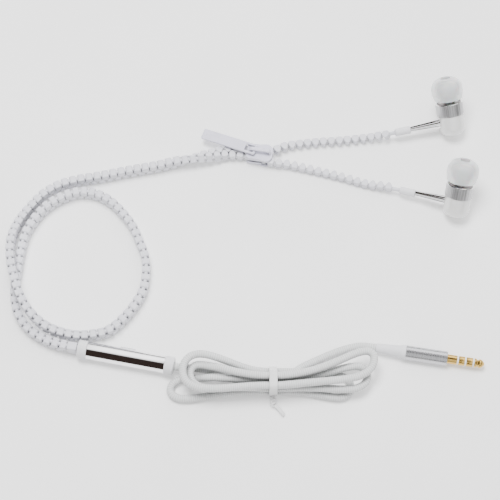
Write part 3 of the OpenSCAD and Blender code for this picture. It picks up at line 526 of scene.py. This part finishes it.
# A sheet or a block of size 1, open in edit mode
def beginSheet(name, add=bpy.ops.mesh.primitive_plane_add):
    piece = begin(name, add, size=1)
    edit(piece)
    return piece


def beginBlock(name):
    return beginSheet(name, bpy.ops.mesh.primitive_cube_add)


def activate(piece):
    deselect()
    piece.select_set(True)
    bpy.context.view_layer.objects.active = piece


def edit(piece):
    activate(piece)
    bpy.ops.object.mode_set(mode="EDIT")
    pickAll()


def leave():
    bpy.ops.object.mode_set(mode="OBJECT")


def pickAll():
    bpy.ops.mesh.select_all(action="SELECT")


# Steps in edit mode, in millimetres: a primitive of size 1 is brought to size and to its place
def sizeTo(x, y, z=1):
    bpy.ops.transform.resize(value=(mm(x), mm(y), mm(z)))


def shift(x, y, z):
    bpy.ops.transform.translate(value=(mm(x), mm(y), mm(z)))


def scaleAbout(middle, factors):
    bpy.ops.transform.resize(value=factors, center_override=[mm(value) for value in middle])


def cutAcross(x):
    bpy.ops.mesh.bisect(plane_co=(mm(x), 0, 0), plane_no=(1, 0, 0))


def inset(size):
    bpy.ops.mesh.inset(thickness=mm(size), depth=mm(size))


def weld(reach=tiny):
    pickAll()
    bpy.ops.mesh.remove_doubles(threshold=mm(reach))


def extrude(x, y, z):
    bpy.ops.mesh.extrude_region_move(TRANSFORM_OT_translate={"value": (mm(x), mm(y), mm(z))})


def drawEdges(x, y, z):
    bpy.ops.mesh.extrude_edges_move(TRANSFORM_OT_translate={"value": (mm(x), mm(y), mm(z))})


def roundCorners(size, segments):
    bpy.ops.mesh.bevel(offset=mm(size), segments=segments, affect="VERTICES")


# One flat face instead of the pieces that a cut has left
def mergeFaces():
    bpy.ops.mesh.select_mode(type="FACE")
    pickAll()
    bpy.ops.mesh.dissolve_faces()
    pickAll()


def faceOutwards():
    pickAll()
    bpy.ops.mesh.normals_make_consistent(inside=False)
    leave()


# Select by place in edit mode; test gets the middle of each vertex, edge or face
def pick(piece, test, kind="VERT"):
    bpy.ops.mesh.select_mode(type=kind)
    bpy.ops.mesh.select_all(action="DESELECT")
    shape = bmesh.from_edit_mesh(piece.data)
    parts = {"VERT": shape.verts, "EDGE": shape.edges, "FACE": shape.faces}[kind]
    for part in parts:
        corners = [part] if kind == "VERT" else part.verts
        middle = sum((corner.co for corner in corners), Vector()) / len(corners)
        if test(middle * 1000):
            part.select_set(True)
    shape.select_flush_mode()
    bmesh.update_edit_mesh(piece.data)


def modifier(piece, kind, **settings):
    activate(piece)
    step = piece.modifiers.new(kind.lower(), kind)
    for setting, value in settings.items():
        setattr(step, setting, value)
    bpy.ops.object.modifier_apply(modifier=step.name)


def join(parts, name):
    deselect()
    for part in parts:
        part.select_set(True)
    bpy.context.view_layer.objects.active = parts[0]
    bpy.ops.object.join()
    parts[0].name = name
    return parts[0]


def bevel(piece, width, segments=3, angle=40):
    modifier(piece, "BEVEL", width=mm(width), segments=segments, limit_method="ANGLE",
             angle_limit=math.radians(angle))


def softBlock(name, size, edge, segments=4, at=(0, 0, 0)):
    piece = beginBlock(name)
    sizeTo(*size)
    shift(*at)
    leave()
    bevel(piece, edge, segments)
    return piece


# A place in millimetres, brought to the table in metres
def onTable(place):
    moved = place.copy()
    moved.translation = toTable(place.translation)
    return moved


def placeAt(piece, place):
    activate(piece)
    piece.matrix_world = onTable(place) @ piece.matrix_world
    bpy.ops.object.transform_apply(location=True, rotation=True, scale=True)


def smooth(piece, angle=40):
    activate(piece)
    bpy.ops.object.shade_smooth_by_angle(angle=math.radians(angle))
    modifier(piece, "WEIGHTED_NORMAL", keep_sharp=True)


# A piece with two looks has their names parted by a space
def finishPiece(piece, body, look, slot, *replaces):
    for name in look.split():
        piece.data.materials.append(looks[name])
    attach(piece, body)
    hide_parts(*replaces)


# Round the corners of a profile: each corner is (radius, height) or (radius, height, rounding)
def rounded(corners, closed=True, steps=5):
    points = []
    count = len(corners)
    for i, corner in enumerate(corners):
        here = Vector(corner[:2])
        bend = corner[2] if len(corner) > 2 else 0
        if not bend or (not closed and i in (0, count - 1)):
            points.append(tuple(here))
            continue
        before = Vector(corners[i - 1][:2])
        after = Vector(corners[(i + 1) % count][:2])
        a, b = (before - here).normalized(), (after - here).normalized()
        half = math.acos(max(-1, min(1, a.dot(b)))) / 2
        reach = bend / math.tan(half)
        centre = here + (a + b).normalized() * (bend / math.sin(half))
        start, end = here + a * reach - centre, here + b * reach - centre
        sweep = math.atan2(start.x * end.y - start.y * end.x, start.dot(end))
        for j in range(steps + 1):
            turn = sweep * j / steps
            points.append((centre.x + start.x * math.cos(turn) - start.y * math.sin(turn),
                           centre.y + start.x * math.sin(turn) + start.y * math.cos(turn)))
    return points


# Own map of a turned piece: round it, and along and across its profile
def wrapMap(piece):
    layer = piece.data.uv_layers.active or piece.data.uv_layers.new(name="wrap")
    for face in piece.data.polygons:
        turns = []
        for loop in face.loop_indices:
            co = piece.data.vertices[piece.data.loops[loop].vertex_index].co * 1000
            turns.append(math.atan2(co.y, co.x) / (2 * math.pi))
        for loop, turn in zip(face.loop_indices, turns):
            co = piece.data.vertices[piece.data.loops[loop].vertex_index].co * 1000
            if turn - turns[0] > 0.5:
                turn -= 1
            elif turn - turns[0] < -0.5:
                turn += 1
            layer.data[loop].uv = (turn * 6, (co.z - math.hypot(co.x, co.y)) * 0.1)


# Turned piece: one ring of the profile after another is extruded and resized
def turnedPiece(name, corners, place, sides=64, closed=True, sharp=35, second=None):
    profile = rounded(corners, closed)
    if closed:
        profile.append(profile[0])
    profile = [(max(r, tiny), z) for r, z in profile]
    piece = begin(name, bpy.ops.mesh.primitive_circle_add, vertices=sides, radius=mm(profile[0][0]),
                  location=(0, 0, mm(profile[0][1])))
    bpy.ops.object.transform_apply(location=True)
    edit(piece)
    bpy.ops.mesh.select_mode(type="EDGE")
    pickAll()
    for (r0, z0), (r1, z1) in zip(profile, profile[1:]):
        drawEdges(0, 0, z1 - z0)
        if abs(r1 - r0) > 1e-6:
            scaleAbout((0, 0, z1), (r1 / r0, r1 / r0, 1))
    weld(2.5 * tiny)
    faceOutwards()
    wrapMap(piece)
    if second:
        for face in piece.data.polygons:
            spot = face.center * 1000
            if second(math.hypot(spot.x, spot.y), spot.z):
                face.material_index = 1
    placeAt(piece, place)
    smooth(piece, sharp)
    return piece


def turned(name, corners, place, body, look, slot, node, **settings):
    finishPiece(turnedPiece(name, corners, place, **settings), body, look, slot, node)


# ---- earbuds ----
sides = ("left", "right")
shellShape = {"frontRadius": 5.45, "frontLength": 5.1, "frontWall": 0.7, "rimDepth": 0.6, "face": 0.8,
              "seat": 0.4, "nozzle": 2.5, "bore": 1.9, "nozzleLength": 7.2, "bead": 0.15,
              "beadAt": (1.2, 1.0, 0.6, 0.4), "round": 3, "rimBevel": 0.3, "edgeBevel": 0.18}
tipShape = {"radius": 6.2, "length": 8.6, "gap": 1.2, "wall": 0.65, "skirt": 0.32, "round": 4.2,
            "tuck": 0.6, "taper": 2.5, "hole": 1.9}
rimHeight = bud["rearLength"] + shellShape["frontLength"]
faceHeight = rimHeight - shellShape["rimDepth"]
nozzleEnd = faceHeight + shellShape["nozzleLength"]
tipStart = rimHeight + tipShape["gap"]


def makeRearShell(i):
    r, wall, bend = bud["rearRadius"], bud["wall"], shellShape["round"]
    top = bud["rearLength"]
    inner = r - wall
    corners = [(0, 0), (r, 0, bend), (r, top, 0.2), (inner, top), (inner, wall, bend - wall), (0, wall)]
    turned(sides[i] + "RearShell", corners, budPlace(i), "set", "pearl", "pearl_plastic",
           sides[i] + "_rear_shell", sides=96, closed=False)


def makeFrontShell(i):
    shape = shellShape
    r, inner = shape["frontRadius"], shape["frontRadius"] - shape["frontWall"]
    back, seat = bud["rearLength"], bud["rearLength"] + shape["seat"]
    spigot = bud["rearRadius"] - bud["wall"] - 0.05
    nozzle, bore, bead = shape["nozzle"], shape["bore"], shape["nozzle"] + shape["bead"]
    neck, low, high, tip = (nozzleEnd - down for down in shape["beadAt"])
    corners = [(r, back, shape["edgeBevel"]), (r, rimHeight, shape["rimBevel"]), (inner, rimHeight, 0.15),
               (inner, faceHeight), (nozzle, faceHeight, 0.2), (nozzle, neck), (bead, low), (bead, high),
               (nozzle, tip), (nozzle, nozzleEnd, 0.15), (bore, nozzleEnd, 0.1),
               (bore, faceHeight - shape["face"]), (inner, faceHeight - shape["face"]), (inner, seat),
               (spigot - 0.4, seat), (spigot - 0.4, back - 1), (spigot, back - 1), (spigot, back)]
    turned(sides[i] + "FrontShell", corners, budPlace(i), "set", "brushedAluminium polishedRim",
           "brushed_aluminium", sides[i] + "_front_shell", sides=128,
           second=lambda radius, height: rimHeight - 0.31 < height < rimHeight + 0.1)


def makeEarTip(i):
    shape = tipShape
    r, wall, bend = shape["radius"], shape["wall"], shape["round"]
    top = tipStart + shape["length"]
    core = shellShape["nozzle"] + shellShape["bead"] + 0.03
    inside = bend - wall
    dome = math.sqrt(inside ** 2 - (core + wall - (r - bend)) ** 2) + top - bend
    corners = [(r - shape["tuck"], tipStart, 0.12), (r, tipStart + shape["taper"], 2), (r, top, bend),
               (shape["hole"], top, 0.25), (shape["hole"], nozzleEnd + 0.1), (core, nozzleEnd + 0.1),
               (core, tipStart + 0.4), (core + wall, tipStart + 0.4, 0.15), (core + wall, dome, 0.3)]
    under = [math.radians(a) for a in (55, 35, 15, 0)]
    corners += [(r - bend + inside * math.cos(a), top - bend + inside * math.sin(a)) for a in under]
    corners += [(r - wall, tipStart + shape["taper"]), (r - shape["tuck"] - shape["skirt"], tipStart, 0.1)]
    turned(sides[i] + "EarTip", corners, budPlace(i), sides[i] + "_tip", "silicone", "silicone",
           sides[i] + "_ear_tip", sides=96, sharp=50)


stemShape = {"start": 1.9, "end": 1.2, "bore": 0.9, "stop": 1.55, "stopRound": 0.45}


def acrossBud(i, y):
    return budPlace(i) @ offset(0, y, stemAt) @ spun(-90, "X")


def makeStem(i):
    wall, length = bud["wall"], bud["stemLength"]
    corners = [(stemShape["bore"], 0), (stemShape["start"], 0), (stemShape["start"], wall),
               (stemShape["end"], wall + length, 0.15), (stemShape["bore"], wall + length)]
    turned(sides[i] + "Stem", corners, acrossBud(i, bud["rearRadius"] - wall + 0.02), "set", "chrome",
           "chrome_tube", sides[i] + "_stem")


def makeEndStop(i):
    r, bend, length = stemShape["stop"], stemShape["stopRound"], bud["stopLength"]
    bore = stemShape["bore"] + 0.05
    corners = [(bore, 0), (r, 0, 0.3), (r, length, bend), (bore, length)]
    turned(sides[i] + "EndStop", corners, acrossBud(i, stemEnd + 0.02), "set", "softWhite",
           "soft_white", sides[i] + "_end_stop", sides=48)


# ---- tubes for the cords ----
def resample(path, step):
    runs = runsOf(path)
    count = max(2, round(runs[-1] / step))
    return [lookUp(runs, path, runs[-1] * k / count) for k in range(count + 1)]


# Tube along a path in millimetres, rings turned as little as possible, with a map round and along it
def cordTube(name, path, radius, around):
    points = [toTable(p) for p in path]
    shape = bmesh.new()
    layer = shape.loops.layers.uv.new("wrap")
    side = up
    rings, runs = [], runsOf(points)
    for k, point in enumerate(points):
        ahead = (points[min(k + 1, len(points) - 1)] - points[max(k - 1, 0)]).normalized()
        side = (side - ahead * side.dot(ahead)).normalized()
        other = ahead.cross(side)
        rings.append([shape.verts.new(point + mm(radius) * (
            side * math.cos(2 * math.pi * j / around) + other * math.sin(2 * math.pi * j / around)))
            for j in range(around)])
    for k in range(len(rings) - 1):
        for j in range(around):
            n = (j + 1) % around
            face = shape.faces.new((rings[k][j], rings[k][n], rings[k + 1][n], rings[k + 1][j]))
            face.smooth = True
            spots = ((j, k), (j + 1, k), (j + 1, k + 1), (j, k + 1))
            for loop, (a, b) in zip(face.loops, spots):
                loop[layer].uv = (a / around, runs[b])
    shape.faces.new(list(reversed(rings[0])))
    shape.faces.new(rings[-1])
    mesh = bpy.data.meshes.new(name)
    shape.to_mesh(mesh)
    shape.free()
    return addObject(name, mesh), points


def strandPath(i):
    line = openLines[i]
    first = [line.at(line.length * k / 60) for k in range(60)]
    count = int(chainLine.length / 1.6)
    closed = [onChain(i, (chainLine.length - 4) * k / count + 0.4) for k in range(count + 1)]
    away = (2 * i - 1) * chain["halfGap"]
    return resample(first + closed + [on(splitter, (splitter["board"] - 1, 0, away)),
                                      on(splitter, (splitter["board"], 0, away))], 1.2)


def makeStrandCord(i):
    path = strandPath(i)
    piece, points = cordTube(sides[i] + "StrandCord", path, chain["cordRadius"], 12)
    finishPiece(piece, "set", "cordWhite", "soft_white", sides[i] + "_strand_cord")


def makeLowerCord():
    path = resample(leadIn.path[:-1] + hankLine + leadOut.path, 1.1)
    piece, points = cordTube("lowerCord", path, hank["radius"], 20)
    finishPiece(piece, "set", "jacket", "cord_jacket", "cord_lead_in", "cord_hank", "cord_lead_out")


# ---- zipper teeth ----
tooth = {"rootInner": 0.65, "necks": [(0.98, 2.1), (1.35, 1.86), (1.72, 1.2), (1.92, 0.6)],
         "corner": 0.75, "cap": 0.09, "capHeight": 0.55, "edge": 0.2}


# One tooth, built flat and raised in layers: body, a slightly wider cap, and rounded edges
def makeTooth():
    length, outer, half = chain["rootLength"], -chain["rootOut"], chain["thickness"] / 2
    inner = tooth["rootInner"]
    piece = beginSheet("tooth")
    sizeTo(length, inner - outer)
    shift(0, (inner + outer) / 2, tooth["edge"] - half)
    pick(piece, lambda p: p.y < 0)
    roundCorners(tooth["corner"], 4)
    y, width = inner, length
    for nextY, nextWidth in tooth["necks"]:
        pick(piece, lambda p: p.y > y - 0.01, "EDGE")
        drawEdges(0, nextY - y, 0)
        scaleAbout((0, nextY, 0), (nextWidth / width, 1, 1))
        y, width = nextY, nextWidth
    mergeFaces()
    extrude(0, 0, chain["thickness"] - 2 * tooth["edge"] - tooth["capHeight"])
    grow = (1 + 2 * tooth["cap"] / length, 1 + 2 * tooth["cap"] / (y - outer), 1)
    extrude(0, 0, 0.02)
    scaleAbout((0, (outer + y) / 2, half), grow)
    extrude(0, 0, tooth["capHeight"])
    inset(tooth["edge"])
    pick(piece, lambda p: p.z < -half + tooth["edge"] + 0.01, "FACE")
    inset(tooth["edge"])
    faceOutwards()
    smooth(piece, 38)
    return piece


def toothPlace(point, ahead, side):
    y = (side - ahead * side.dot(ahead)).normalized()
    z = ahead.cross(y)
    place = Matrix((ahead, y, z)).transposed().to_4x4()
    place.translation = point
    return place


def teethPlaces(i):
    line, e, pitch = openLines[i], (1, -1)[i], chain["pitch"]
    budRun = (onBud(i, stopEnd, stemAt) - onBud(i, 0, stemAt)).length + bud["boardHeight"] - stemAt - 0.6
    places = []
    room = line.length + chain["first"] - budRun - chain["stopClear"] - chain["rootLength"] / 2
    for k in range(int(room / pitch + (1 - i) / 2)):
        s = line.length - (k + 0.5 + i * 0.5) * pitch + chain["first"]
        ahead = line.heading(s)
        places.append(toothPlace(line.at(s), ahead, e * up.cross(ahead)))
    run = stopStart - chain["first"] - chain["rootLength"] / 2
    count = int(run / pitch)
    for k in range(count + i):
        s = chain["first"] + (k + 0.5 - i * 0.5) * run / count
        places.append(toothPlace(chainLine.at(s) - e * chain["halfGap"] * across(s),
                                 chainLine.heading(s), e * across(s)))
    return places


def makeTeeth(i, pattern):
    copies = []
    for k, place in enumerate(teethPlaces(i)):
        copy = pattern.copy()
        copy.data = pattern.data.copy()
        copy.name = f"{sides[i]}Tooth{k}"
        bpy.context.collection.objects.link(copy)
        copy.data.transform(onTable(place))
        copies.append(copy)
    finishPiece(join(copies, sides[i] + "Teeth"), "set", "toothWhite", "tooth_plastic",
                sides[i] + "_teeth")


def makeBottomStop():
    s = stopStart + chain["stopLength"] / 2
    width = 2 * (chain["halfGap"] + chain["rootOut"])
    size = (chain["stopLength"] - chain["stopGap"], width, chain["thickness"])
    piece = softBlock("bottomStop", size, chain["stopEdge"])
    placeAt(piece, toothPlace(chainLine.at(s), chainLine.heading(s), across(s)))
    smooth(piece)
    finishPiece(piece, "set", "toothWhite", "tooth_plastic", "bottom_stop")


# ---- slider and pull tab ----
sliderLooks = {"cornerNarrow": 1.1, "cornerWide": 3.4, "flare": -0.3, "plateEdge": 0.3,
               "flangeFrom": 0.7, "flangeTo": 1.2, "flangeEdge": 0.15, "bailBend": 1.4, "postIn": 0.6}
topHeight = slider["plate"] + slider["gap"]


# Plate: a rectangle whose mouth end is widened, with round corners, raised and softened
def makePlate(name, height):
    length, narrow, wide = slider["length"], slider["narrow"], slider["wide"]
    piece = beginSheet(name)
    sizeTo(length, narrow)
    shift(0, 0, height)
    cutAcross(sliderLooks["flare"])
    pick(piece, lambda p: p.x > length / 2 - 0.01)
    bpy.ops.transform.resize(value=(1, wide / narrow, 1))
    pick(piece, lambda p: p.x > length / 2 - 0.01)
    roundCorners(sliderLooks["cornerWide"], 10)
    pick(piece, lambda p: p.x < 0.01 - length / 2)
    roundCorners(sliderLooks["cornerNarrow"], 5)
    mergeFaces()
    extrude(0, 0, slider["plate"])
    faceOutwards()
    return piece


def makeFlange(side, height):
    narrow, wall, tall = slider["narrow"], slider["flangeWall"], slider["flange"]
    x0, x1 = sliderLooks["flangeFrom"] - slider["length"] / 2, sliderLooks["flangeTo"]
    return softBlock("flange", (x1 - x0, wall, tall), sliderLooks["flangeEdge"], 2,
                     ((x0 + x1) / 2, side * (narrow - wall) / 2, height + tall / 2))


# Bail: a bar's end face is drawn up, round two bends and down again
def makeBail():
    length, wide, wall = slider["bailLength"], slider["bailWidth"], slider["bailWall"]
    base, rise = topHeight + slider["plate"] - 0.2, slider["bailRoom"] + wall + 0.2
    bend = sliderLooks["bailBend"] - wall / 2
    foot = wall / 2 - length / 2
    piece = beginSheet("bail")
    sizeTo(wall, wide)
    shift(foot, 0, base)
    straight = rise - wall / 2 - bend

    def bendAt(x):
        bpy.ops.mesh.spin(steps=8, angle=-math.pi / 2, axis=(0, 1, 0),
                          center=(mm(x), 0, mm(base + straight)))

    extrude(0, 0, straight)
    bendAt(foot + bend)
    extrude(-2 * (foot + bend), 0, 0)
    bendAt(-foot - bend)
    extrude(0, 0, -straight)
    weld()
    crossings = [Vector((foot, 0, base + straight)), Vector((-foot - bend, 0, base + straight + bend))]
    pick(piece, lambda p: min((p - spot).length for spot in crossings) < 0.02, "FACE")
    bpy.ops.mesh.delete(type="ONLY_FACE")
    faceOutwards()
    return piece


def makeSlider():
    parts = [makePlate("lowerPlate", 0), makePlate("upperPlate", topHeight), makeBail()]
    for part in parts:
        bevel(part, sliderLooks["plateEdge"], 4)
    for side in (-1, 1):
        parts.append(makeFlange(side, slider["plate"] - 0.05))
        parts.append(makeFlange(side, topHeight - slider["flange"] + 0.05))
    postAt = (slider["length"] / 2 - sliderLooks["postIn"], 0, slider["plate"] + slider["gap"] / 2)
    post = begin("post", bpy.ops.mesh.primitive_cylinder_add, vertices=24, radius=mm(slider["post"]),
                 depth=mm(slider["gap"] + 0.2), location=[mm(value) for value in postAt])
    bpy.ops.object.transform_apply(location=True)
    piece = join(parts + [post], "sliderBody")
    placeAt(piece, placeOf(slider))
    smooth(piece)
    finishPiece(piece, "slider", "enamel", "slider_metal", "slider_body")


tab = {"length": 23, "width": 4.6, "thick": 1.0, "holeWidth": 2.7, "holeLength": 3.6, "yaw": 13,
       "droop": 6, "pin": -2, "corner": 0.7, "ringCorner": 1.9, "edge": 0.3,
       "ringFrom": 0.19, "ringEnd": (0.95, 1, 0.8)}


# Pull tab: a strap cut across and along, the hole's middle taken out, then thickened, with its ring
# end made slimmer where it hangs in the bail
def makePullTab():
    bar = tab["thick"] / 2
    flat = tab["length"] - bar
    piece = beginSheet("pullTab")
    sizeTo(tab["length"], tab["width"])
    shift(tab["length"] / 2 - flat, 0, -bar)
    hole = (-bar - tab["holeLength"], -bar)
    for x in hole:
        pickAll()
        cutAcross(x)
    for y in (-tab["holeWidth"] / 2, tab["holeWidth"] / 2):
        pickAll()
        bpy.ops.mesh.bisect(plane_co=(0, mm(y), 0), plane_no=(0, 1, 0))
    pick(piece, lambda p: hole[0] < p.x < hole[1] and abs(p.y) < tab["holeWidth"] / 2, "FACE")
    bpy.ops.mesh.delete(type="FACE")
    pick(piece, lambda p: abs(p.y) > tab["width"] / 2 - 0.01 and p.x < 0.1 - flat)
    roundCorners(tab["corner"], 6)
    pick(piece, lambda p: abs(p.y) > tab["width"] / 2 - 0.01 and p.x > bar - 0.1)
    roundCorners(tab["ringCorner"], 8)
    pickAll()
    extrude(0, 0, tab["thick"])
    faceOutwards()
    bevel(piece, tab["edge"], 4, 60)
    edit(piece)
    pick(piece, lambda p: p.x > tab["ringFrom"])
    scaleAbout((0, 0, 0), tab["ringEnd"])
    leave()
    pinHeight = topHeight + slider["plate"] + slider["bailRoom"] - bar - 0.05
    placeAt(piece, placeOf(slider) @ offset(tab["pin"], 0, pinHeight)
            @ spun(-tab["yaw"]) @ spun(-tab["droop"], "Y"))
    smooth(piece)
    finishPiece(piece, "tab", "enamel", "slider_metal", "pull_tab")


# ---- splitter ----
def splitterPlace(x=0):
    return placeOf(splitter) @ offset(x, 0, 0) @ spun(90, "Y")


tube = {"radius": 3.3, "wall": 0.5, "collar": 3.55, "collarLength": 3.5, "spigot": 3, "cordHole": 1.57,
        "windowLength": 6, "windowWidth": 2, "buttonRise": 0.5, "buttonIn": 1.2, "buttonEdge": 0.28,
        "portAt": 7, "port": 0.4}


def makeSplitterTube():
    r, inner, length = tube["radius"], tube["radius"] - tube["wall"], splitter["length"]
    corners = [(inner, 0.01), (r, 0.01, 0.1), (r, length - 0.01, 0.1), (inner, length - 0.01)]
    piece = turnedPiece("splitterTube", corners, splitterPlace(), sides=128)
    window = softBlock("window", (tube["windowLength"] + 0.1, 4, tube["windowWidth"] + 0.1), 0.3, 3)
    placeAt(window, placeOf(splitter) @ offset(length / 2, r, 0))
    port = begin("port", bpy.ops.mesh.primitive_cylinder_add, vertices=24, radius=mm(tube["port"]),
                 depth=mm(4))
    placeAt(port, placeOf(splitter) @ offset(length / 2 + tube["portAt"], r, 0) @ spun(90, "X"))
    for cutter in (window, port):
        modifier(piece, "BOOLEAN", operation="DIFFERENCE", object=cutter, solver="EXACT")
        bpy.data.objects.remove(cutter)
    smooth(piece, 35)
    finishPiece(piece, "set", "chrome", "chrome_tube", "splitter_tube")


def makeCollars():
    r, length, spigot = tube["collar"], tube["collarLength"], tube["spigot"]
    inner = tube["radius"] - tube["wall"] - 0.03
    front = [(0, -length), (r, -length, 0.3), (r, 0, 0.12), (inner, 0), (inner, spigot), (0, spigot)]
    hole = tube["cordHole"]
    rear = [(0, -spigot), (inner, -spigot), (inner, 0), (r, 0, 0.12), (r, length, 0.75),
            (hole, length, 0.1), (hole, 0.5), (0, 0.5)]
    for end, corners, at in (("front", front, 0), ("rear", rear, splitter["length"])):
        turned(end + "Collar", corners, splitterPlace(at), "set", "collarWhite", "white_plastic",
               end + "_collar", closed=False, sides=96)


def makeButton():
    rise = tube["buttonRise"] + tube["buttonIn"]
    piece = softBlock("callButton", (tube["windowLength"], rise, tube["windowWidth"]), tube["buttonEdge"])
    out = tube["radius"] + tube["buttonRise"] - rise / 2
    placeAt(piece, placeOf(splitter) @ offset(splitter["length"] / 2, out, 0))
    smooth(piece)
    finishPiece(piece, "button", "collarWhite", "white_plastic", "call_button")


# ---- twist tie ----
tie = {"width": 3.0, "thick": 0.5, "height": 1.5, "gap": 0.1, "edge": 0.12, "tailEdge": 0.15,
       "knot": 4, "knotWide": 2.4, "knotThick": 1.1, "turns": 1.5, "knotSteps": 22,
       "tail": 5.5, "tailWide": 1.5, "tailThick": 0.6, "tailBend": 2.5, "tailTurn": -42}


# Outline of the bundle seen along the cord, grown outwards
def hullRing(grow, steps=10):
    centres = [(waistY - hank["lane"] / 2, laneZ), (waistY + hank["lane"] * 1.5, laneZ),
               (waistY + hank["lane"] / 2, laneZ + 2 * hank["layer"]),
               (waistY - hank["lane"] / 2, laneZ + 2 * hank["layer"])]
    ring = []
    for k, (y, z) in enumerate(centres):
        before, after = centres[k - 1], centres[(k + 1) % len(centres)]
        start = math.atan2(z - before[1], y - before[0]) - math.pi / 2
        end = math.atan2(after[1] - z, after[0] - y) - math.pi / 2
        end += 2 * math.pi * (end < start)
        for j in range(steps + 1):
            turn = mix(start, end, j / steps)
            ring.append((y + grow * math.cos(turn), z + grow * math.sin(turn)))
    return ring


# Band: a short edge is drawn round the bundle, then made thick
def makeTie():
    ring = hullRing(hank["radius"] + tie["gap"] + tie["thick"] / 2)
    piece = beginSheet("twistTie")
    pick(piece, lambda p: p.y > 0)
    bpy.ops.mesh.delete(type="VERT")
    pickAll()
    bpy.ops.transform.resize(value=(mm(tie["width"]), 1, 1))
    sheetEdge = 0.5  # metres from the middle to the edge that is left
    bpy.ops.transform.translate(value=(0, sheetEdge + mm(ring[0][0]), mm(ring[0][1])))
    for (y0, z0), (y1, z1) in zip(ring, ring[1:] + ring[:1]):
        drawEdges(0, y1 - y0, z1 - z0)
    weld()
    faceOutwards()
    modifier(piece, "SOLIDIFY", thickness=mm(tie["thick"]), offset=0.0)
    bevel(piece, tie["edge"], 2)
    knotY = waistY - hank["lane"] / 2 - hank["radius"] - tie["gap"] - tie["thick"] + 0.3
    knot = beginSheet("knot")
    bpy.ops.transform.rotate(value=math.pi / 2, orient_axis="X", center_override=(0, 0, 0))
    sizeTo(tie["knotWide"], 1, tie["knotThick"])
    for _ in range(tie["knotSteps"]):
        extrude(0, -tie["knot"] / tie["knotSteps"], 0)
        bpy.ops.transform.rotate(value=tie["turns"] * 2 * math.pi / tie["knotSteps"], orient_axis="Y",
                                 center_override=(0, 0, 0))
    pickAll()
    shift(0, knotY, tie["height"])
    faceOutwards()
    bevel(knot, tie["edge"], 2, 60)
    tail = beginBlock("tail")
    sizeTo(tie["tail"], tie["tailWide"], tie["tailThick"])
    shift(tie["tail"] / 2, 0, 0)
    cutAcross(tie["tailBend"])
    pick(tail, lambda p: p.x > tie["tail"] - 0.1)
    shift(0, -0.5, -0.3)
    leave()
    bevel(tail, tie["tailEdge"], 2)
    tail.matrix_world = (offset(mm(0.2), mm(knotY - tie["knot"] + 0.8), mm(tie["height"]))
                         @ spun(tie["tailTurn"]))
    piece = join([piece, knot, tail], "twistTie")
    placeAt(piece, offset(waistX, 0, 0))
    smooth(piece)
    finishPiece(piece, "set", "tie", "tie_plastic", "twist_tie")


# ---- plug ----
jack = {"radius": 1.75, "start": 27.1, "rings": (3.7, 6.6, 9.6), "ring": 0.6, "core": 0.9}
reliefShape = {"start": 1.7, "flare": 2.35, "end": 2.75, "hole": 1.57, "lip": 1.5}


def plugPlace():
    return placeOf(plug) @ spun(90, "Y")


def makePlug():
    names = []

    def part(name, node, corners, look, slot, **settings):
        turned(name, corners, plugPlace(), "set", look, slot, node, **settings)
        names.append(name)

    length, lip = plug["relief"], reliefShape["lip"]
    relief = [(0, 2), (reliefShape["hole"], 2), (reliefShape["hole"], 0), (reliefShape["start"], 0, 0.05),
              (reliefShape["flare"], length - lip - 0.7, 3), (reliefShape["end"], length - lip, 0.4),
              (reliefShape["end"], length, 0.15), (0, length)]
    part("strainRelief", "plug_strain_relief", relief, "softWhite", "soft_white", closed=False)
    r, end = plug["shellRadius"], length + plug["shell"]
    shell = [(0, length), (r, length, 0.12), (r, end, 0.3), (0, end)]
    part("plugShell", "plug_shell", shell, "turnedShell", "brushed_shell", closed=False, sides=96)
    r, start = jack["radius"], jack["start"]
    starts = [start] + [start + at + jack["ring"] for at in jack["rings"][:2]]
    for name, node, low, at in zip(("plugSleeve", "plugRing1", "plugRing2"),
                                   ("plug_sleeve", "plug_ring_1", "plug_ring_2"), starts, jack["rings"]):
        high = start + at
        contact = [(jack["core"], low), (r, low, 0.05), (r, high, 0.05), (jack["core"], high)]
        part(name, node, contact, "gold", "gold_plate")
    low, end = start + jack["rings"][2] + jack["ring"], start + plug["contacts"]
    point = [(0, low), (r, low, 0.05), (r, low + 0.6, 0.15), (1.15, low + 1.3, 0.4),
             (r - 0.05, low + 1.9, 0.3), (r - 0.15, end - 1.1, 1.2), (0.5, end, 0.3), (0, end)]
    part("plugTip", "plug_tip", point, "gold", "gold_plate", closed=False, sharp=45)
    core = jack["core"] - 0.01
    rings = [(0, start), (core, start)]
    for at in jack["rings"]:
        rings += [(core, start + at), (r - 0.02, start + at), (r - 0.02, start + at + jack["ring"]),
                  (core, start + at + jack["ring"])]
    part("plugInsulators", "plug_insulators", rings[:-1] + [(0, rings[-1][1])], "ringWhite",
         "white_plastic", closed=False)
    return names


# ---- pieces inside, which keep the solids of the frame ----
insideLooks = {"nozzle_mesh": "mesh", "driver_frame": "frameWhite", "diaphragm": "film",
               "voice_coil": "copper", "magnet": "nickel", "pole_plate": "nickel", "yoke": "nickel",
               "terminal_board": "board", "mic_board": "board", "mic_capsule": "brass",
               "button_switch": "steel"}


def dressInside():
    for name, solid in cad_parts.items():
        part = name.removeprefix("left_").removeprefix("right_")
        if part in insideLooks:
            solid.data.materials.clear()
            solid.data.materials.append(looks[insideLooks[part]])


# ---- everything in order ----
makeCamera()
makeWorld()
makeLight()
makeFloor()
print("stage: room")
makeStrandCord(0)
makeStrandCord(1)
makeTie()
plugPieces = makePlug()
makeLowerCord()
print("stage: cords and plug")
pattern = makeTooth()
for i in (0, 1):
    makeTeeth(i, pattern)
bpy.data.objects.remove(pattern)
makeBottomStop()
print("stage: teeth")
makeSlider()
makePullTab()
makeSplitterTube()
makeCollars()
makeButton()
print("stage: slider and splitter")
for i in (0, 1):
    makeRearShell(i)
    makeFrontShell(i)
    makeEarTip(i)
    makeStem(i)
    makeEndStop(i)
dressInside()
print("stage: earbuds")
